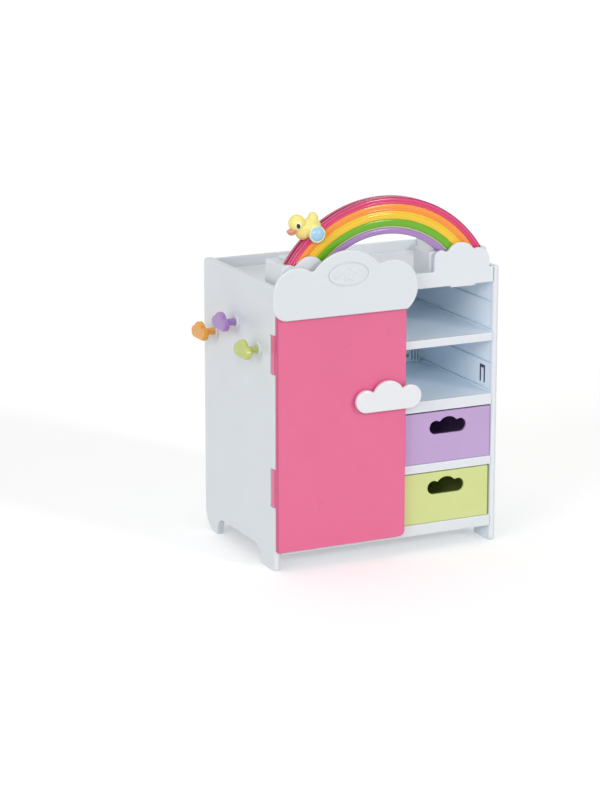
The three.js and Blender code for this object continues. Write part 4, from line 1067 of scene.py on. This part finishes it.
# %% Pods
POD_LOW, POD_HIGH, POD_FRONT = 389.4, 438, 8.6
PODS = {    # left, right, rear
    "left": (17, 102, 67.6), "right": (246, 339, 57.6),
}
switch_slot = (rectangle(61.7, 416.7, 74.3, 422.3, 0.4), 3.0, 0.3, "back")
for side, (left, right, rear) in PODS.items():
    outline = rectangle(left, POD_LOW, right, POD_HIGH, (0.2, 0.2, 3.2, 3.2))
    holes = [switch_slot] if side == "left" else []
    pod = panel("front", outline, rear, POD_FRONT, (2.4, 2.4), (), holes)
    piece(f"{side}_stand", [f"{side}_pod"], [pod], WHITE)
screw_seat = (circle(89, 45.1, 2.9, 28), 2.2, 0.3, "front")
cover_plan, cover_low, cover_high = rectangle(35, 26.1, 95, 64.1, 4), POD_HIGH + 0.3, 442.3
cover = panel("top", cover_plan, cover_low, cover_high, (0.2, 0.9), (), [screw_seat])
piece("battery_lid", ["battery_cover"], [cover], WHITE)

# %% [markdown]
# ## Rainbow
#
# Each band is a section carried along an arc. All the bands end on the same level line, so a point
# of the section at radius r runs between the two angles where its own arc meets it. The fronts
# swell in beads, which catch long thin highlights. The outer band also has a slot along its rim,
# the track that the duckling slides in, which shows as a dark line.

# %% Bands
ARCH_X, ARCH_Z, ARCH_FOOT, ARCH_OUTER, ARCH_WIDTH = 176.006, 341.406, 438.3, 180.99, 52.795
BAND_SHARES = np.array([0.191, 0.188, 0.225, 0.19, 0.045, 0.161])
BAND_NAMES = ("pink", "orange", "yellow", "green", "light", "purple")
TRACK_DEPTH, TRACK_FRONT, TRACK_REAR = 5.5, 11.4, 16.6
band_edges = ARCH_OUTER - np.concatenate([[0], np.cumsum(BAND_SHARES * ARCH_WIDTH)])


def band(section, count=150):
    """centre + r (cos a, sin a) at each point (r, y), for a from asin(foot / r) to pi minus
    that."""
    radius, depth = section[:, 0], section[:, 1]
    first = np.arcsin((ARCH_FOOT - ARCH_Z) / radius)
    a = first + np.linspace(0, 1, count)[:, None] * (np.pi - 2 * first)
    x, z = ARCH_X + radius * np.cos(a), ARCH_Z + radius * np.sin(a)
    return tube(np.stack([x, np.broadcast_to(depth, x.shape), z], axis=-1))


def bead_section(inner, outer, front, rear, beads, swell, track):
    """(r, y) round a band. Each bead spans two shares of the width, and its y is
    base - height * sin t, for t from pi to 0 across it."""
    base = front + swell
    corners = [(inner, base), (outer, base), (outer, rear), (inner, rear)]
    if track:
        floor = outer - TRACK_DEPTH
        corners[2:2] = [(outer, TRACK_FRONT), (floor, TRACK_FRONT), (floor, TRACK_REAR),
                        (outer, TRACK_REAR)]
    body = rounded(corners, 0.45)
    width, t = outer - inner, np.linspace(np.pi, 0, 12)
    rows = []
    for low, high, height in beads:
        across = inner + (low + high + (high - low) * np.cos(t)) / 2 * width
        rows.append(np.stack([across, base - height * np.sin(t)], axis=1))
    at = int(np.argmax(body[:, 0] > inner + width / 2))
    return without_doubles(np.concatenate([body[:at], *rows, body[at:]]))


print("band edges, mm from the arch's centre:", np.round(band_edges, 1))

# %% Band colours
# painted shade: the pink darkens between these two distances towards the rim
RIM_SHADE = (178.2, 179.4)    # mm from the arch's centre


def rim_painted_shade(made, base):
    """Painted shade, darker towards the rim."""
    return made.mix(made.beyond((ARCH_X, 0, ARCH_Z), *RIM_SHADE), base, linear("BE3E6D"))


GLOSS = {
    "pink": plastic("pink_gloss", "E2447A", 0.12, 0.02, 0.15, rim_painted_shade),
    "orange": plastic("orange_gloss", "FA9838", 0.12, 0.02, 0.15),
    "yellow": plastic("yellow_gloss", "F3C72A", 0.12, 0.02, 0.15),
    "green": plastic("green_gloss", "68B214", 0.12, 0.02, 0.1),
    "purple": plastic("purple_gloss", "A682BC", 0.2, 0.02, 0.15),
    "light": plastic("light_strip", "CFCBB5", 0.4, 0.04),
}
print("band colours:", ", ".join(GLOSS))

# %% Beads
BEADS = {    # start, end and height of each bead, and how far the tallest one swells
    "pink": ([(0.06, 0.36, 1.2), (0.4, 0.86, 1.5), (0.87, 0.96, 0.5)], 1.5),
    "orange": ([(0.06, 0.3, 0.6), (0.3, 0.95, 0.9)], 0.9),
    "yellow": ([(0.05, 0.72, 0.9), (0.72, 0.95, 0.7)], 0.9),
    "green": ([(0.06, 0.94, 0.9)], 0.9),
    "light": ([(0.25, 0.75, 0.2)], 0.3),
    "purple": ([(0.06, 0.94, 0.9)], 0.9),
}
BAND_FRONT, BAND_REAR, BAND_GAP, RIM_GAP = 6, 22, 0.05, 0.15
SET_BACK = {"pink": 0.0, "light": 2.6}    # and 0.7 for the others
for i, name in enumerate(BAND_NAMES):
    outer = band_edges[i] - (RIM_GAP if name == "pink" else BAND_GAP)
    inner, back = band_edges[i + 1] + BAND_GAP, SET_BACK.get(name, 0.7)
    faces = BAND_FRONT + back, BAND_REAR - back
    section = bead_section(inner, outer, *faces, *BEADS[name], name == "pink")
    node, slot = f"{name}_band", f"{name}_gloss"
    if name == "light":
        node = slot = "light_strip"
    piece(f"{name}_arch", [node], [band(section)], GLOSS[name])

# %% [markdown]
# ## Duckling
#
# The duckling is one soft moulding. Balls for its body, chest, head and tail overlap, a remesh
# makes one skin round them, smoothing rounds the creases between them, and a piece of the
# band's own ring is cut out where the duckling sits astride it.

# %% Skin round overlapping balls
def ball(centre, half, lean=0.0, count=28):
    """centre + half * (cos b sin a, sin b, cos b cos a), with x and z turned by the lean. It stops
    just short of its poles, where a tiny flat face closes it."""
    b = np.linspace(-1, 1, count)[:, None] * (np.pi / 2 - 0.01)
    a = np.arange(2 * count) * np.pi / count
    x, z = half[0] * np.cos(b) * np.sin(a), half[2] * np.cos(b) * np.cos(a)
    y = np.broadcast_to(half[1] * np.sin(b), x.shape)
    c, s = math.cos(lean), math.sin(lean)
    return tube(np.stack([x * c - z * s, y, x * s + z * c], axis=-1) + np.asarray(centre, float))


def fused(bodies, voxel_mm, smoothing, cut=None):
    """One closed body: the skin round the bodies, smoothed, and less what the cut takes out."""
    made = joined("fused", bodies)
    skin = made.modifiers.new("skin", "REMESH")
    skin.mode, skin.voxel_size = "VOXEL", voxel_mm / 1000
    soft = made.modifiers.new("soft", "SMOOTH")
    soft.factor, soft.iterations = 0.5, smoothing
    spare = [made]
    if cut:
        spare.append(joined("cut", [cut]))
        less = made.modifiers.new("less", "BOOLEAN")
        less.operation, less.object, less.solver = "DIFFERENCE", spare[1], "EXACT"
    shown = made.evaluated_get(bpy.context.evaluated_depsgraph_get())
    ready = bpy.data.meshes.new_from_object(shown)
    points = np.empty(3 * len(ready.vertices), np.float32)
    ready.vertices.foreach_get("co", points)
    faces = [list(face.vertices) for face in ready.polygons]
    for thing in spare:
        bpy.data.meshes.remove(thing.data)
    bpy.data.meshes.remove(ready)
    return points.reshape(-1, 3) * 1000.0 + DRAWING_ORIGIN, faces, np.zeros(len(faces))


print("a ball has", len(ball((0, 0, 0), (1, 1, 1))[0]), "points")

# %% [markdown]
# ## Duckling's finishes
#
# The yellow turns warmer low on the chest, and paler in a ring round each eye. The beak and the
# eyes are painted, and each wing is a blue disc with a pale rim.

# %% Duckling's finishes
DUCK_Y, HEAD, EYE, WING = 14.0, (40.98, 495.49), (38.4, 493.2), (65.18, 480.29)


def duck_tint(made, base):
    """Warmer low on the chest, and paler in a ring round each eye."""
    chest = (1 - made.beyond((53, DUCK_Y, 470), 10, 26, flat=False)) * 0.75
    ring = (1 - made.beyond((EYE[0], 0, EYE[1]), 4.4, 5.6)) * 0.8
    return made.mix(ring, made.mix(chest, base, linear("EFC27A")), linear("FBF3C4"))


def wing_tint(made, base):
    """A pale rim round the blue middle."""
    return made.mix(made.beyond((WING[0], 0, WING[1]), 9.2, 10.4), base, linear("DCEBD2"))


YELLOW = plastic("duckling_yellow", "F3E587", 0.3, 0.04, tint=duck_tint)
BEAK = plastic("beak_orange", "D9937A", 0.35, 0.04)
BLACK = plastic("eye_black", "100C0C", 0.16, 0.04)
WING_BLUE = plastic("wing_blue", "A3CFEE", 0.16, 0.03, 0.5, wing_tint)
print("made", ", ".join(finish.name for finish in (YELLOW, BEAK, BLACK, WING_BLUE)))

# %% Duckling's body and bill
HEAD_RADIUS = 12
SADDLE, SADDLE_ENDS = (139, 5.6, 181.39, 22.4), (1.85, 2.7)    # (r, y) corners, radians
DUCK_BALLS = [    # x, z, half sizes, lean
    (60.98, 486.29, (17.5, 14.5, 15), 0.0), (*HEAD, (HEAD_RADIUS,) * 3, 0.0),
    (50.2, 482.0, (10.6, 12.2, 10.8), 0.0), (47.5, 487.5, (9.5, 10.8, 9.5), 0.0),
    (65.5, 499.6, (7.6, 8.0, 9.6), 0.1),
]
BILL_BALLS = [(32.3, 484.6, (6.6, 6.0, 3.7), 0.12), (33.2, 481.5, (5.3, 5.2, 2.9), 0.12)]
section = rectangle(*SADDLE)
turn = np.linspace(*SADDLE_ENDS, 60)[:, None]
saddle = tube(np.stack([
    ARCH_X + section[:, 0] * np.cos(turn),
    np.broadcast_to(section[:, 1], (len(turn), len(section))),
    ARCH_Z + section[:, 0] * np.sin(turn),
], axis=-1))
body, bill = ([ball((x, DUCK_Y, z), half, lean) for x, z, half, lean in balls]
              for balls in (DUCK_BALLS, BILL_BALLS))
piece("duckling", ["duckling_body"], [fused(body, 0.55, 14, saddle)], YELLOW)
piece("duckling_bill", ["duckling_beak"], [fused(bill, 0.35, 4)], BEAK)

# %% [markdown]
# ## Eyes and wings
#
# An eye is a small ball that the head all but swallows: the depth of the head's surface below it
# follows from the head's radius. A wing is a button with a raised rim and a domed middle, the
# shape a lathe would give.

# %% Eyes and wings
EYE_SINK, WING_OFF = 0.35, 14.7
WING_PROFILE = [    # radius, distance from the wing's seat
    (9, -3), (12.0, -0.6), (12.2, 0.4), (11.9, 1.4), (11.2, 2.0), (10.5, 1.9), (9.9, 1.3),
    (9.5, 1.6), (8.8, 2.8), (7.6, 3.9), (6.0, 4.8), (4.0, 5.5), (2.0, 5.85), (0.05, 5.9),
]
off = HEAD_RADIUS**2 - (EYE[0] - HEAD[0]) ** 2 - (EYE[1] - HEAD[1]) ** 2
for side, sign in (("rear", 1), ("front", -1)):
    eye_y = DUCK_Y + sign * (math.sqrt(off) - EYE_SINK)
    eye = ball((EYE[0], eye_y, EYE[1]), (2.8, 1.5, 3.6), 0.4, 16)
    piece(f"duckling_{side}_eyeball", [f"duckling_{side}_eye"], [eye], BLACK)
    profile = [(r, sign * y) for r, y in WING_PROFILE][::sign]
    wing = turned("y", (WING[0], DUCK_Y + sign * WING_OFF, WING[1]), profile, 64)
    piece(f"duckling_{side}_wing_disc", [f"duckling_{side}_wing"], [wing], WING_BLUE)

# %% [markdown]
# ## Knobs
#
# Three knobs on the left side hold hangers or a bag. Each is a thick little cloud on a round stem,
# with a collar against the wall.

# %% Knobs
KNOB_PUFFS = [(0.19, 0.19, 0.19), (0.5, 0.28, 0.285), (0.80, 0.20, 0.20)]
KNOB_WIDTH, HEAD_LEFT, HEAD_LOW = 45, 21.5, 9.5    # left and low from the stem's middle
HEAD_ENDS, COLLAR_ENDS, COLLAR_RADIUS = (-29, -19.5), (-3.3, -0.3), 10.5
KNOB_CODES = {"orange": "E9A23B", "purple": "A77FC0", "green": "BFCB6E"}
STEM_PROFILE = [(5, -21), (5, -6), (5.6, -3.6), (3.4, -3.4), (3.4, 9.6), (3.0, 10)]
for name, (y, z) in KNOBS.items():
    finish = plastic(f"{name}_knob_plastic", KNOB_CODES[name], 0.26, 0.03, 0.2)
    outline = cloud(KNOB_PUFFS, KNOB_WIDTH, y - HEAD_LEFT, z - HEAD_LOW, valley=2.5)
    head = panel("right", outline, *HEAD_ENDS, (2.6, 2.8))
    stem = turned("x", (0, y, z), STEM_PROFILE, 32)
    piece(f"{name}_knob_cloud", [f"{name}_knob"], [head, stem], finish)
    bore = (circle(y, z, STEM_HOLE, 32), 0.3)
    ring = circle(y, z, COLLAR_RADIUS, 48)
    collar = panel("right", ring, *COLLAR_ENDS, (1.0, 0.2), [bore])
    piece(f"{name}_knob_collar", [f"{name}_knob_base"], [collar], WHITE)

# %% [markdown]
# ## Steel, and the pieces kept from the CAD
#
# Hinge pins and screws are small plated steel parts, and the power switch is a plain grey slide.
# Their CAD solids have the right shape, so they only get a finish. The steel is brushed in fine
# level lines and a little stained, as cheap plating is.

# %% Steel
def steel():
    """Brushed in fine level lines, and stained here and there."""
    made = Finish("steel", Metallic=1.0)
    brushed = made.noise(1.2, 3, 0.6, made.stretched((1, 1, 18)))
    stain = made.noise(4, 3)
    made.set(
        Base_Color=made.mix(made.steps(stain, 0.35, 0.7), linear("B9BCC0"), linear("9A9B9C")),
        Roughness=brushed * 0.25 + stain * 0.15 + 0.15,
        Normal=made.bump(brushed, 0.3, 0.05),
    )
    return made.material


STEEL = steel()
SWITCH = plastic("switch_grey", "9A9EA3", 0.45, 0.03)
KEPT = {"pin": STEEL, "screw": STEEL, "switch": SWITCH}    # by a word of the node's name
for name, node in frame["nodes"].items():
    finish = next((KEPT[word] for word in name.split("_") if word in KEPT), None)
    if finish and not node.hide_render:
        for place in node.material_slots:
            place.material = finish
print("kept from the CAD", [n for n, o in frame["nodes"].items() if not o.hide_render])

# %% [markdown]
# ## Floor
#
# The object stands on a studio sweep, a pale floor that runs on to the horizon. It has to look
# white and yet throw no more light on the object than a pale floor does. A Light Path node tells
# which rays look at it, and it glows a little for those alone, so it keeps the object's shadow.

# %% Floor
FLOOR_GLOW, FLOOR_HALF, FLOOR_DROP = 0.29, 20.0, 0.0002    # the last two in metres
PURE_WHITE = (1, 1, 1, 1)


def floor_finish():
    """A pale matt floor, and a glow of its own on the rays that look at it."""
    made = Finish("studio_floor", Roughness=0.7, Specular_IOR_Level=0.2)
    made.set(Base_Color=made.mix(made.noise(400, 2), linear("EFEFEF"), linear("F2F2F2")))
    wanted = {"Color": PURE_WHITE, "Strength": made.looked_at() * FLOOR_GLOW}
    glow = made.node("ShaderNodeEmission", {}, wanted)
    lit = Value(made, made.surface.outputs[0])
    made.link_output("Material Output", made.node("ShaderNodeAddShader", {}, {0: lit, 1: glow}))
    return made.material


corners = np.array([(-1, -1), (1, -1), (1, 1), (-1, 1)]) * FLOOR_HALF
floor_mesh = bpy.data.meshes.new("floor")
floor_mesh.from_pydata(np.insert(corners, 2, -FLOOR_DROP, axis=1).tolist(), [], [(0, 1, 2, 3)])
floor_mesh.materials.append(floor_finish())
floor = bpy.data.objects.new("floor", floor_mesh)
bpy.context.scene.collection.objects.link(floor)
print("floor of", 2 * FLOOR_HALF, "m")

# %% [markdown]
# ## Light
#
# The sky is even. It looks white, but lights the object with less than half of that. Four distant
# lamps light the object: a wide one from the left, a narrower one from the front left that draws
# the highlights along the rainbow, one from the front right that reaches into the shelves, and a
# wide one from above. Light that falls into the white shelves goes from wall to wall many times
# before it comes out, so the renderer follows it for longer than it usually would.

# %% Light
SKY_LIGHT, SKY_SEEN, DIFFUSE_BOUNCES = 0.38, 1.0, 10
LAMPS = {    # the way its light travels, strength, angle in degrees, colour
    "left_light": ((0.85, 0.45, -0.30), 0.82, 30, (0.97, 0.99, 1.02)),
    "streak_light": ((0.42, 0.80, -0.42), 0.5, 10, (0.97, 0.99, 1.03)),
    "key_light": ((-0.40, 0.82, -0.38), 0.75, 9, (1.01, 1.0, 0.98)),
    "top_light": ((0.12, -0.12, -0.98), 0.65, 60, (1.02, 1.0, 0.97)),
}
world = bpy.data.worlds.new("studio")
bpy.context.scene.world = world
world.use_nodes = True
sky = Nodes(world.node_tree)
sky.tree.nodes.remove(sky.tree.nodes["Background"])
sky_light, seen_sky = (
    sky.node("ShaderNodeBackground", {}, {"Color": PURE_WHITE, "Strength": strength})
    for strength in (SKY_LIGHT, SKY_SEEN)
)
wanted = {0: sky.looked_at(), 1: sky_light, 2: seen_sky}
sky.link_output("World Output", sky.node("ShaderNodeMixShader", {}, wanted))
bpy.context.scene.cycles.diffuse_bounces = DIFFUSE_BOUNCES
for name, (travels, strength, angle, colour) in LAMPS.items():
    lamp = bpy.data.lights.new(name, "SUN")
    lamp.energy, lamp.angle, lamp.color = strength, math.radians(angle), colour
    made = bpy.data.objects.new(name, lamp)
    made.rotation_mode = "QUATERNION"
    made.rotation_quaternion = Vector(travels).to_track_quat("-Z", "Y")
    bpy.context.scene.collection.objects.link(made)
print("lamps:", ", ".join(LAMPS))

# %% [markdown]
# ## Camera
#
# The photograph was taken from the front left and a little above, from far enough away for the
# upright edges to stay nearly parallel. The camera stands there and has a long lens.

# %% Camera
YAW, PITCH, PLACE = math.radians(25.55), math.radians(14.53), (-1.7535, -3.51985, 1.226)
lens = bpy.data.cameras.new("camera")
lens.lens, lens.sensor_width, lens.clip_end = 125.8, 36.0, 100.0
camera = bpy.data.objects.new("camera", lens)
bpy.context.scene.collection.objects.link(camera)
camera.location = PLACE
camera.rotation_euler = (math.pi / 2 - PITCH, 0.0, -YAW)
bpy.context.scene.camera = camera
bpy.context.scene.view_settings.view_transform = "Standard"
print("camera at", PLACE)
